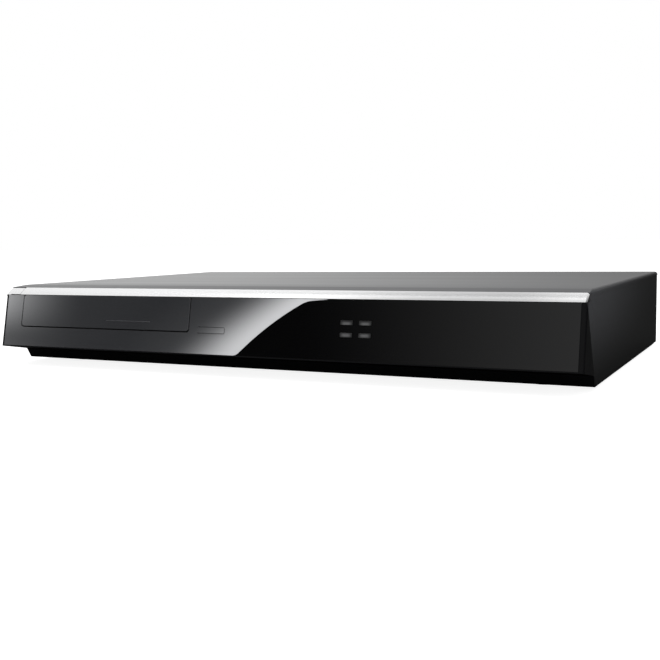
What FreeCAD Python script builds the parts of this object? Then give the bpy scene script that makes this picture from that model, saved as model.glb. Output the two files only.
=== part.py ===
"""DVD recorder: a low, full-width disc recorder with a leaning fascia and a motorised disc tray.

Millimetres. +X is to the viewer's right, +Y to the rear, +Z up. The origin is the middle of the footprint,
on the surface that the feet stand on.
"""

import math
import os

import FreeCAD
import Part

V = FreeCAD.Vector

# Case
case_width = 430.0
case_height = 59.0
case_depth = 275.5
jack_reach = 10.5
foot_height = 3.0
cover_sheet = 0.8
chassis_sheet = 1.0
rear_sheet = 0.8
fit_gap = 0.3
cover_bend_radius = 2.5
cover_slope_length = 13.3
cover_slope_drop = 1.3
low_screw_left_inset = 22.0
low_screw_right_inset = 60.0
cover_rear_flange = 10.5
joggle_length = 16.0
joggle_depth = 0.4
chassis_flange = 18.0
case_screw_head = 3.0
case_screw_radius = 1.4

# Front: the fascia leans forward from the brow, under the trim strip, to the lip
face_lean = 7.8
lip_height = 14.8
face_thickness = 2.2
frame_wall = 2.0
cheek_width = 3.0
cheek_rounding = 2.6
lip_rim = 0.8
underside_drop = 4.8
skirt_top_setback = 18.0
skirt_foot_setback = 22.0
seam_top_setback = 0.3
seam_knee_setback = 19.4
seam_knee_height = 9.9
seam_foot_setback = 25.2
strip_run = 6.7
strip_rise = 4.8
strip_step = 0.1
strip_bulge = 0.35
strip_end_radius = 1.6
shadow_gap = 0.4
face_gap = 0.15
ledge_depth = 15.0
ledge_sheet = 1.4
tongue_reach = 8.0

# The slanting joint between the silver and the black plate
split_corner_inset = 207.1
split_slope = 1.11
split_bend_rise = 22.3
split_bend_radius = 200.0
split_upper_slope = 1.82
split_bottom_radius = 6.0
split_tail_radius = 20.0
split_tail_length = 14.5
split_tail_drop = 1.3
split_gap = 0.2

# Keys on the front
power_width = 14.3
power_travel = 0.8
key_clearance = 0.25
key_flange = 1.2
key_flange_overlap = 1.0
key_proud = 0.4
key_stem_radius = 1.2
stem_gap = 0.2
eject_width = 21.2
eject_height = 3.6
eject_z = 31.2
eject_inset = 187.2
eject_travel = 0.6
key_width = 8.2
key_height = 2.8
key_pitch = 12.6
key_row_heights = (38.6, 31.0)
key_inset = 286.3
key_travel = 0.5
window_gap = 16.1
window_inset = 19.0
window_low = 24.0
window_high = 46.0
tube_depth = 3.6
sensor_gap = 11.3
sensor_z = 24.0

# Front board and what stands on it
front_board_setback = 6.2
power_board_setback = 14.0
front_board_left_inset = 173.0
front_board_right_inset = 15.0
front_board_low = 17.0
front_board_drop = 2.8
power_board_drop = 22.8
power_board_rise = 4.5
board_sheet = 1.6
switch_size = 5.6
switch_body = 2.0
switch_plunger = 0.6
switch_plunger_radius = 1.5
sensor_width = 8.0
sensor_height = 6.0
sensor_depth = 5.0

# Tray and its lid
drive_inset = 92.0
disc_setback = 76.7
tray_travel = 145.0
tray_half_width = 65.0
tray_front_setback = 3.7
tray_rear_setback = 197.7
tray_top = 44.0
tray_floor = 41.0
tray_sheet = 2.2
tray_rail_width = 4.5
tray_rail_bottom = 34.0
disc_well_radius = 60.5
small_disc_radius = 40.5
small_disc_depth = 0.8
tray_slot_radius = 21.0
finger_notch_radius = 12.0
lid_width = 150.0
lid_shift = 2.0
lid_bottom = 30.0
lid_gap = 0.8
lid_corner = 2.0
lid_lug_width = 12.0
lid_lug_offset = 40.0
mouth_gap = 1.0

# Drive chassis
drive_half_width = 70.0
drive_wall = 3.0
drive_front_setback = 16.7
drive_rear_setback = 206.7
drive_floor = 20.0
drive_floor_sheet = 2.5
drive_top = 47.5
tray_side_gap = 0.4
tray_ledge_width = 6.0
tray_ledge_sheet = 2.7
bridge_sheet = 1.0
bridge_length = 36.0
tab_reach = 9.0
tab_length = 12.0
tab_sheet = 2.5
tab_front_inset = 20.0
tab_rear_inset = 20.0

# Loading gears
gear_module = 0.8
gear_backlash = 0.2
pressure_angle = math.radians(20.0)
drive_teeth = 30
pinion_teeth = 18
gear_face = 3.5
gear_row_setback = 33.7
rack_offset = 47.0
rack_back = 3.0
rack_front_reach = 10.5
rack_rear_reach = 11.5
pulley_radius = 11.0
pulley_flange = 1.4
pulley_height = 5.0
motor_pulley_radius = 3.0
belt_span = 27.0
belt_thickness = 1.2
belt_width = 2.4
post_radius = 1.5
running_clearance = 0.05
loading_motor_radius = 10.0
loading_motor_height = 13.0
shaft_radius = 1.0

# Traverse: the sub-frame with the spindle and the pickup, which tilts on two pins at its rear
tilt_angle = math.radians(3.6)
pivot_setback = 160.7
traverse_left = 36.0
traverse_right = 52.0
traverse_front = 24.0
traverse_rear = 4.0
traverse_sheet = 3.0
traverse_top = 29.0
pivot_pin = 5.0
pivot_bracket = 3.0
cam_travel = 14.0
cam_sheet = 2.5
cam_gap = 0.3
cam_rib = 2.0
cam_pin_height = 33.0
cam_pin_radius = 1.5
cam_half_length = 34.0
cam_border = 1.6
spindle_motor_radius = 13.5
spindle_motor_height = 9.0
turntable_radius = 15.0
disc_plane = 42.4
hub_radius = 7.4
hub_rise = 1.6
clamper_radius = 14.0
clamper_neck = 11.7
clamper_sheet = 1.5

# Pickup and its feed
pickup_travel = 34.0
pickup_rest_radius = 24.0
pickup_half_width = 18.0
pickup_front = 9.0
pickup_rear = 17.0
pickup_bottom = 24.5
pickup_top = 34.0
lens_radius = 4.0
lens_rise = 1.8
rod_offset = 22.0
rod_radius = 1.5
rod_rise = 2.2
rod_block = 3.0
ear_half = 3.5
feed_module = 0.5
feed_backlash = 0.16
feed_teeth = 44
feed_pinion_teeth = 18
feed_face = 2.4
feed_rack_offset = 31.0
feed_wheel_setback = 123.2
feed_motor_radius = 6.0
feed_motor_height = 12.0

# Boards at the rear and what stands on them
main_drive_gap = 17.0
main_power_gap = 10.0
main_front_gap = 13.2
main_wing_inset = 99.0
main_wing_gap = 10.5
main_rear_margin = 12.0
power_side_gap = 11.0
power_rear_gap = 12.9
power_width_across = 72.0
power_length = 170.0
sink_size = 28.0
sink_base = 3.0
sink_height = 14.0
sink_fins = 7
sink_fin = 1.6
transformer_core = (34.0, 14.0, 28.0)
transformer_coil = (24.0, 28.0, 24.0)
blade_sheet = 2.0
blade_length = 40.0
blade_height = 32.0
blade_fins = 6
blade_fin = 1.4
blade_reach = 8.0
lead_sheet = 0.6
lead_width = 24.0
lead_bend = 3.0
wire_radius = 0.8
wire_bend = 2.5
wire_pitch = 2.6
wire_rise = 6.0
ribbon_landing = 10.0
wire_count = 4
vent_width = 36.0
vent_slot = 2.4
vent_pitch = 9.0
vent_rows = 9
vent_column_pitch = 80.0
vent_columns = 3

drive_board_width = 100.0
drive_board_depth = 30.0
drive_board_gap = 4.0

# Chips under the drive's board: right of its middle, behind its front edge, width, depth, height
drive_chip_table = ((-12.0, 4.0, 24.0, 20.0, 2.0), (24.0, 6.0, 10.0, 14.0, 1.6))

# Chips on the main board: right of its left edge, or left of its right edge where below zero, then behind its
# front edge, width, depth, height
main_processor = (58.0, 58.0, 28.0, 28.0, 3.0)
main_chip_table = (
    main_processor,
    (98.0, 52.0, 12.0, 22.0, 1.2),
    (98.0, 80.0, 12.0, 22.0, 1.2),
    (-32.0, 108.0, 20.0, 20.0, 2.0),
    (36.0, 118.0, 16.0, 16.0, 2.0),
    (-82.0, 158.0, 18.0, 12.0, 2.0),
    (-32.0, 168.0, 9.0, 24.0, 8.0),
)

# Round parts on the boards: right of the left edge, behind the front edge, radius, height
main_can_table = (
    (18.0, 28.0, 4.0, 11.0),
    (36.0, 22.0, 4.0, 11.0),
    (-20.0, 28.0, 5.0, 12.0),
    (-20.0, 138.0, 4.0, 11.0),
)
power_can_table = (
    (54.0, 120.0, 10.0, 30.0),
    (16.0, 44.0, 6.5, 22.0),
    (32.0, 40.0, 6.5, 22.0),
    (48.0, 42.0, 5.0, 20.0),
    (16.0, 22.0, 5.0, 16.0),
)
transformer_place = (32.0, 82.0)
blade_place = (8.0, 96.0)
filter_box_place = (26.0, 144.0)
filter_box = (18.0, 14.0, 16.0)
choke_place = (48.0, 154.0)
choke_length = 18.0
choke_radius = 2.6
fuse_place = (52.0, 140.0)
fuse_box = (6.0, 6.0, 10.0)
standoff_height = 8.0
standoff_radius = 3.0
pilot_radius = 1.25
screw_radius = 1.2
screw_head_radius = 2.6
screw_head = 1.6
screw_length = 6.0
board_hole = 1.6
board_margin = 6.0

# Rear sockets
aerial_inset = 20.0
phono_gap = 38.0
component_gap = 62.0
optical_gap = 6.0
hdmi_gap = 26.0
inlet_inset = 22.0
inlet_z = 22.0
phono_radius = 4.15
phono_bore = 1.6
phono_bore_depth = 8.0
phono_collar = 5.4
socket_collar_sheet = 1.2
phono_pitch = 14.0
phono_low = 22.0
phono_high = 37.0
block_depth = 12.0
block_margin = 0.5
aerial_radius = 4.7
aerial_collar = 6.2
aerial_bore = 0.9
aerial_bore_depth = 6.0
aerial_pitch = 16.0
tuner_gap = 23.4
tuner_left = 18.0
tuner_right = 20.0
inlet_width = 17.0
inlet_height = 8.6
inlet_wall = 2.0
inlet_pin_radius = 1.2
inlet_pin_pitch = 8.6
inlet_depth = 12.0
inlet_lip = 1.5
hdmi_width = 15.0
hdmi_height = 6.0
hdmi_wall = 0.6
hdmi_depth = 11.0
optical_size = 9.6
fan_size = 40.0
fan_hole_pitch = 32.0
fan_hole = 1.6
fan_depth = 10.0
fan_bore = 18.2
fan_tip_gap = 0.7
fan_hub = 8.0
fan_blades = 7
fan_blade_sheet = 1.0
fan_blade_pitch = 38.0
fan_inset = 65.0
fan_z = 31.0
fan_slot = 2.4
fan_slot_pitch = 4.6

# Feet
foot_radius = 12.0
foot_rim = 1.0
foot_peg_radius = 2.5
foot_peg_height = 3.0
foot_inset_x = 35.0
foot_front_setback = 50.7
foot_rear_inset = 28.0

# Places that follow from the sizes
half_width = case_width / 2
brow_height = case_height - cover_slope_drop - strip_rise - strip_step
front_y = -(case_depth + jack_reach) / 2
brow_y = front_y + face_lean
rear_y = front_y + case_depth
jack_end = rear_y + jack_reach
panel_back = rear_y - cover_sheet
panel_front = panel_back - rear_sheet
base_z = foot_height
floor_z = base_z + chassis_sheet
side_inner = half_width - cover_sheet - joggle_depth
chassis_half = side_inner - fit_gap
skirt_y = brow_y + skirt_foot_setback
chassis_front = skirt_y + frame_wall
board_z = floor_z + standoff_height
board_top = board_z + board_sheet
strip_top = brow_height + strip_rise
front_board_high = brow_height - front_board_drop
power_board_low = brow_height - power_board_drop
strip_back = brow_y + strip_run
wall_depth = face_thickness + frame_wall
plate_edge = half_width - cheek_width
drive_x = -half_width + drive_inset
disc_y = brow_y + disc_setback
drive_front = brow_y + drive_front_setback
drive_rear = brow_y + drive_rear_setback
drive_inner = drive_half_width - drive_wall
drive_floor_top = drive_floor + drive_floor_sheet
tray_front = brow_y + tray_front_setback
tray_rear = brow_y + tray_rear_setback
tray_bottom = tray_floor - tray_sheet
rail_half_width = drive_inner - tray_side_gap
lid_left = drive_x + lid_shift - lid_width / 2
lid_right = drive_x + lid_shift + lid_width / 2
split_corner_x = -half_width + split_corner_inset
eject_x = -half_width + eject_inset
key_xs = (-half_width + key_inset, -half_width + key_inset + key_pitch)
window_left = key_xs[1] + window_gap
window_right = half_width - window_inset
sensor_x = key_xs[0] - sensor_gap
front_board_y = brow_y + front_board_setback
plunger_y = front_board_y - switch_body - switch_plunger
power_board_y = brow_y + power_board_setback
power_switch_front = power_board_y - switch_body - switch_plunger
power_key_z = brow_height + 2.2
gear_y = brow_y + gear_row_setback
gear_z = tray_rail_bottom + 0.1
drive_gear_radius = gear_module * drive_teeth / 2
pinion_radius = gear_module * pinion_teeth / 2
rack_x = drive_x + rack_offset
drive_gear_x = rack_x - drive_gear_radius
pulley_x = drive_gear_x - drive_gear_radius - pinion_radius
motor_x = pulley_x - belt_span
pulley_z = gear_z - 1.0 - pulley_height
pivot_y = brow_y + pivot_setback
pivot_z = traverse_top - traverse_sheet / 2
cam_y = disc_y - traverse_front - fit_gap - cam_rib - cam_gap - cam_sheet
cam_drop = (pivot_y - cam_y - cam_sheet / 2) * math.sin(tilt_angle)
lens_y = disc_y + pickup_rest_radius
rod_z_height = traverse_top + rod_rise
feed_wheel_radius = feed_module * feed_teeth / 2
feed_pinion_radius = feed_module * feed_pinion_teeth / 2
feed_rack_x = drive_x + feed_rack_offset
feed_wheel_x = feed_rack_x + feed_wheel_radius
feed_wheel_y = brow_y + feed_wheel_setback
feed_pinion_y = feed_wheel_y - feed_wheel_radius - feed_pinion_radius
feed_z = traverse_top + 0.6
bridge_z = drive_top
power_right = half_width - power_side_gap
power_left = power_right - power_width_across
power_rear = panel_front - power_rear_gap
power_front = power_rear - power_length
main_left = drive_x + drive_half_width + main_drive_gap
main_right = power_left - main_power_gap
main_front = chassis_front + main_front_gap
main_wing_left = -half_width + main_wing_inset
main_wing_front = drive_rear + main_wing_gap
tuner_depth = panel_front - drive_rear - tuner_gap
aerial_x = main_wing_left + aerial_inset
phono_left = aerial_x + phono_gap
component_left = phono_left + component_gap
optical_x = component_left + optical_gap
hdmi_x = optical_x + hdmi_gap
inlet_x = power_right - inlet_inset
fan_x = -half_width + fan_inset


def box(x0, x1, y0, y1, z0, z1):
    return Part.makeBox(x1 - x0, y1 - y0, z1 - z0, V(x0, y0, z0))


def rod_x(y, z, x0, x1, radius):
    return Part.makeCylinder(radius, x1 - x0, V(x0, y, z), V(1, 0, 0))


def rod_y(x, z, y0, y1, radius):
    return Part.makeCylinder(radius, y1 - y0, V(x, y0, z), V(0, 1, 0))


def rod_z(x, y, z0, z1, radius):
    return Part.makeCylinder(radius, z1 - z0, V(x, y, z0))


def prism(points, along):
    """A straight-sided solid on the closed outline, swept by a vector."""
    return Part.Face(Part.makePolygon(points + points[:1])).extrude(along)


def prism_x(points, x0, x1):
    return prism([V(x0, y, z) for y, z in points], V(x1 - x0, 0, 0))


def prism_y(points, y0, y1):
    return prism([V(x, y0, z) for x, z in points], V(0, y1 - y0, 0))


def prism_z(points, z0, z1):
    return prism([V(x, y, z0) for x, y in points], V(0, 0, z1 - z0))


def joined(shapes):
    return shapes[0].multiFuse(shapes[1:]).removeSplitter()


def both_sides(shape):
    return [shape, shape.mirror(V(0, 0, 0), V(1, 0, 0))]


def save(name, *shapes):
    """One STEP file for the node, with each shape as its own solid."""
    solids = [solid for shape in shapes for solid in shape.Solids]
    shape = solids[0] if len(solids) == 1 else Part.makeCompound(solids)
    shape.exportStep(os.path.join("parts", name + ".step"))


# The leaning face
def face_y(z):
    return front_y + face_lean * (z - lip_height) / (brow_height - lip_height)


def on_face(x, z, depth):
    return V(x, face_y(z) + depth, z)


def rounded_face_block(corners, near, far):
    """A block on the leaning face. A corner is (x, z, radius); near and far are depths behind the face."""
    edges = []
    count = len(corners)
    points = [on_face(x, z, near) for x, z, radius in corners]
    ends = []
    for index, (x, z, radius) in enumerate(corners):
        here = points[index]
        if radius == 0:
            ends.append((here, here, here))
            continue
        back = (points[index - 1] - here).normalize()
        ahead = (points[(index + 1) % count] - here).normalize()
        half = back.getAngle(ahead) / 2
        bisector = (back + ahead).normalize()
        start = here + back * (radius / math.tan(half))
        end = here + ahead * (radius / math.tan(half))
        middle = here + bisector * (radius / math.sin(half) - radius)
        ends.append((start, middle, end))
    for index in range(count):
        start, middle, end = ends[index]
        if (end - start).Length > 0:
            edges.append(Part.Arc(start, middle, end).toShape())
        next_start = ends[(index + 1) % count][0]
        edges.append(Part.LineSegment(end, next_start).toShape())
    return Part.Face(Part.Wire(edges)).extrude(V(0, far - near, 0))


def face_block(x0, x1, z0, z1, near, far, radius=0.0):
    corners = [(x0, z0, radius), (x1, z0, radius), (x1, z1, radius), (x0, z1, radius)]
    return rounded_face_block(corners, near, far)


# Gears
def involute(angle):
    return math.tan(angle) - angle


def gear_blank(x, y, z0, z1, module, teeth, phase, backlash):
    """A spur wheel with involute flanks. A tooth is centred on the phase angle."""
    pitch = module * teeth / 2
    base = pitch * math.cos(pressure_angle)
    root = pitch - 1.25 * module
    tip = pitch + 0.95 * module
    half_tooth = math.pi / (2 * teeth) - backlash / (4 * pitch) + involute(pressure_angle)
    flank = []
    steps = 5
    for step in range(steps + 1):
        radius = max(base, root) + (tip - max(base, root)) * step / steps
        flank.append((radius, half_tooth - involute(math.acos(min(1.0, base / radius)))))
    if root < base:
        flank.insert(0, (root, half_tooth))
    points = []
    for tooth in range(teeth):
        centre = phase + 2 * math.pi * tooth / teeth
        rising = [(radius, centre - angle) for radius, angle in flank]
        falling = [(radius, centre + angle) for radius, angle in reversed(flank)]
        for radius, angle in rising + falling:
            points.append((x + radius * math.cos(angle), y + radius * math.sin(angle)))
    return prism_z(points, z0, z1)


def rack_teeth(x, y_tooth, y0, y1, z0, z1, module, backlash, side, back):
    """A straight rack along Y, pitch line at x, with a tooth centred on y_tooth. Side is +1 or -1 in X."""
    pitch = math.pi * module
    slope = math.tan(pressure_angle)
    tip = 0.95 * module
    dedendum = 1.25 * module
    half = pitch / 4 - backlash / 4
    first = math.ceil((y0 - y_tooth) / pitch + 0.5)
    last = math.floor((y1 - y_tooth) / pitch - 0.5)
    points = [(x - side * (dedendum + back), y0), (x - side * dedendum, y0)]
    for index in range(first, last + 1):
        centre = y_tooth + index * pitch
        points.append((x - side * dedendum, centre - half - dedendum * slope))
        points.append((x + side * tip, centre - half + tip * slope))
        points.append((x + side * tip, centre + half - tip * slope))
        points.append((x - side * dedendum, centre + half + dedendum * slope))
    points += [(x - side * dedendum, y1), (x - side * (dedendum + back), y1)]
    return prism_z(points, z0, z1)


def belt_outline(x1, radius1, x2, radius2, y, z):
    """The line of a belt round two pulleys on the same y, the second one at a smaller x."""
    lean = math.acos((radius1 - radius2) / (x1 - x2))
    up = math.pi - lean
    points = []
    for x, radius in ((x1, radius1), (x2, radius2)):
        points.append(V(x + radius * math.cos(up), y + radius * math.sin(up), z))
        points.append(V(x + radius * math.cos(up), y - radius * math.sin(up), z))
    top1, low1, top2, low2 = points
    edges = [Part.Arc(low1, V(x1 + radius1, y, z), top1).toShape()]
    edges.append(Part.LineSegment(top1, top2).toShape())
    edges.append(Part.Arc(top2, V(x2 - radius2, y, z), low2).toShape())
    edges.append(Part.LineSegment(low2, low1).toShape())
    return Part.Face(Part.Wire(edges))


# Case
def seam_points():
    """The slanting seam between the front frame's cheek and the cover, from the brow down to the foot."""
    return [
        (brow_y + seam_top_setback, brow_height),
        (brow_y + seam_knee_setback, seam_knee_height),
        (brow_y + seam_foot_setback, base_z),
    ]


def cover_section(inset):
    """The cover seen from the front, drawn in by the inset."""
    radius = cover_bend_radius - inset
    left = V(-half_width + inset, rear_y, 0)
    x, z = half_width - inset, case_height - inset
    dip = radius * (1 - math.sqrt(0.5))
    edges = [Part.LineSegment(left, V(-x, rear_y, z - radius)).toShape()]
    edges.append(Part.Arc(V(-x, rear_y, z - radius), V(-x + dip, rear_y, z - dip),
                          V(-x + radius, rear_y, z)).toShape())
    edges.append(Part.LineSegment(V(-x + radius, rear_y, z), V(x - radius, rear_y, z)).toShape())
    edges.append(Part.Arc(V(x - radius, rear_y, z), V(x - dip, rear_y, z - dip),
                          V(x, rear_y, z - radius)).toShape())
    edges.append(Part.LineSegment(V(x, rear_y, z - radius), V(x, rear_y, 0)).toShape())
    edges.append(Part.LineSegment(V(x, rear_y, 0), left).toShape())
    return Part.Face(Part.Wire(edges)).extrude(V(0, -case_depth - jack_reach, 0))


def cover_side_view(drop):
    """The cover seen from the side, with its top lowered by the drop."""
    top, knee, foot = seam_points()
    nose = strip_back + fit_gap
    points = [(foot[0] + fit_gap, base_z), (knee[0] + fit_gap, knee[1]), (top[0] + fit_gap, top[1] - fit_gap)]
    points += [(nose, brow_height - fit_gap), (nose, case_height - cover_slope_drop - drop)]
    points += [(nose + cover_slope_length, case_height - drop), (rear_y, case_height - drop),
               (rear_y, base_z)]
    return prism_x(points, -half_width, half_width)


def make_top_cover():
    outer = cover_section(0).common(cover_side_view(0))
    inner = cover_section(cover_sheet).common(cover_side_view(cover_sheet))
    open_front = box(-side_inner, side_inner, front_y, strip_back + 1, 0,
                     case_height - cover_slope_drop - cover_sheet)
    shell = outer.cut(inner).cut(open_front.common(cover_section(cover_sheet)))
    extra = []
    for side in (-1, 1):
        x0, x1 = sorted((side * side_inner, side * (half_width - cover_sheet)))
        extra.append(box(x0, x1, rear_y - joggle_length, rear_y, base_z, case_height - cover_bend_radius))
        x0, x1 = sorted((side * (half_width - joggle_depth), side * half_width))
        shell = shell.cut(box(x0, x1, rear_y - joggle_length, rear_y, 0, case_height - cover_bend_radius))
    flange = box(-half_width + cover_sheet, half_width - cover_sheet, panel_back, rear_y,
                 case_height - cover_rear_flange, case_height - cover_sheet)
    shell = joined([shell] + extra + [flange.common(cover_section(cover_sheet))])
    for x, z in rear_screw_places():
        shell = shell.cut(rod_y(x, z, panel_back - 1, rear_y + 1, case_screw_radius + key_clearance))
    save("top_cover", shell)


def rear_screw_places():
    z = case_height - cover_rear_flange / 2 - cover_sheet / 2
    return [(x, z) for x in (-half_width + 15, 0.0, half_width - 15)]


def socket_places():
    """Each rear socket: its kind, x, z and the radius or (width, height) of its hole in the panel."""
    places = [("phono", x, z, phono_collar) for x in phono_columns() for z in (phono_low, phono_high)]
    places += [("phono", x, phono_high, phono_collar) for x in component_columns()]
    places += [("aerial", aerial_x, z, aerial_collar) for z in aerial_heights()]
    return places


def aerial_heights():
    return (phono_low - 1, phono_low - 1 + aerial_pitch)


def phono_columns():
    return [phono_left + phono_pitch * index for index in range(3)]


def component_columns():
    return [component_left + phono_pitch * index for index in range(3)]


def make_rear_panel():
    panel = box(-chassis_half, chassis_half, panel_front, panel_back, base_z,
                case_height - cover_sheet - fit_gap)
    corner = cover_section(cover_sheet + joggle_depth + fit_gap)
    panel = panel.common(corner)
    holes = []
    for kind, x, z, radius in socket_places():
        holes.append(rod_y(x, z, panel_front - 1, panel_back + 1, radius + running_clearance * 2))
    for x, width, height, z in (
        (optical_x, optical_size, optical_size, phono_low),
        (hdmi_x, hdmi_width, hdmi_height, phono_low),
        (inlet_x, inlet_width + 2 * inlet_wall, inlet_height + 2 * inlet_wall, inlet_z),
    ):
        grow = running_clearance * 2
        holes.append(box(x - width / 2 - grow, x + width / 2 + grow, panel_front - 1, panel_back + 1,
                         z - height / 2 - grow, z + height / 2 + grow))
    count = int(fan_bore / fan_slot_pitch)
    for index in range(-count, count + 1):
        x = fan_x + index * fan_slot_pitch
        reach = math.sqrt((fan_bore - 0.5) ** 2 - (x - fan_x) ** 2) - fan_slot / 2
        slot = box(x - fan_slot / 2, x + fan_slot / 2, panel_front - 1, panel_back + 1, fan_z - reach,
                   fan_z + reach)
        holes.append(slot.cut(box(x - fan_slot, x + fan_slot, panel_front, panel_back, fan_z - 1, fan_z + 1)))
    for x, z in rear_screw_places():
        holes.append(rod_y(x, z, panel_front - 1, panel_back + 1, case_screw_radius + running_clearance))
    for x in rear_foot_screws():
        holes.append(rod_y(x, base_z + 7, panel_front - 1, panel_back + 1,
                           case_screw_radius + running_clearance))
    save("rear_panel", panel.cut(holes))


def rear_foot_screws():
    return [-half_width + low_screw_left_inset, half_width - low_screw_right_inset]


def standoff_places():
    """The places of the bosses that carry the boards and the drive."""
    places = [(x, y, board_z) for x, y in main_board_holes() + power_board_holes()]
    places += [(x, y, drive_floor - tab_sheet) for x, y in drive_tab_places()]
    return places


def main_board_holes():
    rear = panel_front - main_rear_margin
    return [
        (main_left + board_margin, main_front + board_margin),
        (main_right - board_margin, main_front + board_margin),
        (main_right - board_margin, rear - board_margin),
        (main_wing_left + board_margin, main_wing_front + board_margin),
        (main_left + board_margin, (main_front + rear) / 2),
    ]


def power_board_holes():
    xs = (power_left + board_margin, power_right - board_margin)
    return [(x, y) for x in xs for y in (power_front + board_margin, power_rear - board_margin)]


def drive_tab_places():
    xs = (drive_x - drive_half_width - tab_reach / 2, drive_x + drive_half_width + tab_reach / 2)
    return [(x, y) for x in xs for y in (drive_front + tab_front_inset, drive_rear - tab_rear_inset)]


def foot_places():
    xs = (-half_width + foot_inset_x, half_width - foot_inset_x)
    return [(x, y) for x in xs for y in (brow_y + foot_front_setback, rear_y - foot_rear_inset)]


def make_bottom_chassis():
    full_front = brow_y + seam_foot_setback + fit_gap
    parts = [box(-chassis_half, chassis_half, full_front, panel_front, base_z, floor_z)]
    parts.append(box(-plate_edge + fit_gap, plate_edge - fit_gap, chassis_front, full_front, base_z, floor_z))
    wall_front = brow_y + seam_knee_setback + tongue_reach + fit_gap
    wall = box(chassis_half - chassis_sheet, chassis_half, wall_front, panel_front, base_z,
               floor_z + chassis_flange)
    parts += both_sides(wall)
    parts.append(box(-chassis_half, chassis_half, panel_front - chassis_sheet, panel_front, base_z,
                     floor_z + 6))
    cuts = []
    for x, y, top in standoff_places():
        parts.append(rod_z(x, y, base_z, top, standoff_radius))
        cuts.append(rod_z(x, y, top - screw_length - 1.5, top + 1, pilot_radius))
    for x, y in foot_places():
        cuts.append(rod_z(x, y, base_z - 1, floor_z + 1, foot_peg_radius + running_clearance))
    for row in range(vent_rows):
        y = power_front + board_margin + standoff_radius + 1 + row * vent_pitch
        for column in range(vent_columns):
            x0 = main_left + board_margin + 10.0 + column * vent_column_pitch
            cuts.append(box(x0, x0 + vent_width, y, y + vent_slot, base_z - 1, floor_z + 1))
    for x in rear_foot_screws():
        cuts.append(rod_y(x, base_z + 7, panel_front - 2, panel_front + 1,
                          case_screw_radius + running_clearance))
    chassis = joined(parts).cut(cuts)
    save("bottom_chassis", chassis)


def make_feet():
    feet = []
    for x, y in foot_places():
        pad = Part.makeCone(foot_radius - foot_rim, foot_radius, base_z, V(x, y, 0))
        peg = rod_z(x, y, base_z, base_z + foot_peg_height, foot_peg_radius)
        feet.append(joined([pad, peg]))
    save("feet", *feet)


def make_case_screws():
    screws = []
    for x, z in rear_screw_places():
        head = rod_y(x, z, rear_y, rear_y + 1.6, case_screw_head)
        cross = [box(x - 1.8, x + 1.8, rear_y + 0.8, rear_y + 2, z - 0.4, z + 0.4)]
        cross.append(box(x - 0.4, x + 0.4, rear_y + 0.8, rear_y + 2, z - 1.8, z + 1.8))
        screws.append(joined([head, rod_y(x, z, rear_y - 6.0, rear_y, case_screw_radius)]).cut(cross))
    for x in rear_foot_screws():
        z = base_z + 7
        head = rod_y(x, z, panel_back, panel_back + 1.6, case_screw_head)
        cross = [box(x - 1.8, x + 1.8, panel_back + 0.8, panel_back + 2, z - 0.4, z + 0.4)]
        cross.append(box(x - 0.4, x + 0.4, panel_back + 0.8, panel_back + 2, z - 1.8, z + 1.8))
        screws.append(joined([head, rod_y(x, z, panel_back - 5.0, panel_back, case_screw_radius)]).cut(cross))
    save("case_screws", *screws)


# Front frame, strip and fascia
def make_front_frame():
    top, knee, foot = seam_points()
    skirt_top = (brow_y + skirt_top_setback, lip_height - underside_drop)
    skirt_foot = (skirt_y, base_z)
    lip = (front_y, lip_height)
    outline = [(brow_y, brow_height), lip, skirt_top, skirt_foot, foot, knee, top]
    cheek = prism_x(outline, plate_edge, half_width)
    parts = both_sides(cheek)
    rim_top = lip_height + lip_rim
    tray_side = half_width - cheek_width
    low_wall = [lip, (face_y(rim_top), rim_top), (brow_y, lip_height),
                (skirt_top[0] + frame_wall, skirt_top[1] + 2.0),
                (chassis_front, base_z), skirt_foot, skirt_top]
    parts.append(prism_x(low_wall, -tray_side, tray_side))
    parts.append(face_block(-tray_side, tray_side, lip_height + 0.5, brow_height - 0.1, face_thickness,
                            wall_depth))
    ledge_z = brow_height - ledge_sheet
    parts.append(box(-tray_side, tray_side, brow_y + face_thickness, brow_y + ledge_depth, ledge_z,
                     brow_height))
    tongue_x = side_inner - fit_gap
    tongue = [(knee[0], knee[1] + 1), (knee[0] + tongue_reach, knee[1] + 1),
              (brow_y + ledge_depth, brow_height)]
    tongue.append((brow_y + wall_depth, brow_height))
    parts += both_sides(prism_x(tongue, tongue_x - frame_wall, tongue_x))
    frame = joined(parts)
    rounding = []
    for edge in frame.Edges:
        box_of = edge.BoundBox
        if abs(abs(edge.CenterOfMass.x) - half_width) < 0.01 and box_of.YMin < skirt_top[0] - 0.5:
            leans = box_of.YLength > 1
            on_front = box_of.YMax < brow_y + 1 and box_of.ZMin > lip_height - 0.5
            if leans and on_front and box_of.ZMax > skirt_top[1] + 0.5:
                rounding.append(edge)
    frame = frame.makeFillet(cheek_rounding, rounding)
    cuts = [mouth_block(), window_block(), power_board_notch()]
    half_x, half_z = eject_width / 2 + key_clearance, eject_height / 2 + key_clearance
    cuts.append(face_block(eject_x - half_x, eject_x + half_x, eject_z - half_z, eject_z + half_z, -2,
                           wall_depth + 1))
    for x, z in key_places():
        cuts.append(key_block(x, z, key_clearance, -2, wall_depth + 1))
    cuts.append(rod_y(sensor_x, sensor_z, front_y - 1, front_board_y, 2.5))
    frame = frame.cut(cuts)
    save("front_frame", frame)


def mouth_block():
    low = tray_rail_bottom - mouth_gap
    high = tray_top + mouth_gap
    half = rail_half_width + mouth_gap
    return box(drive_x - half, drive_x + half, front_y - 1, drive_front, low, high)


def window_block():
    return face_block(window_left, window_right, window_low, window_high, -1, wall_depth + 1)


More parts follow.
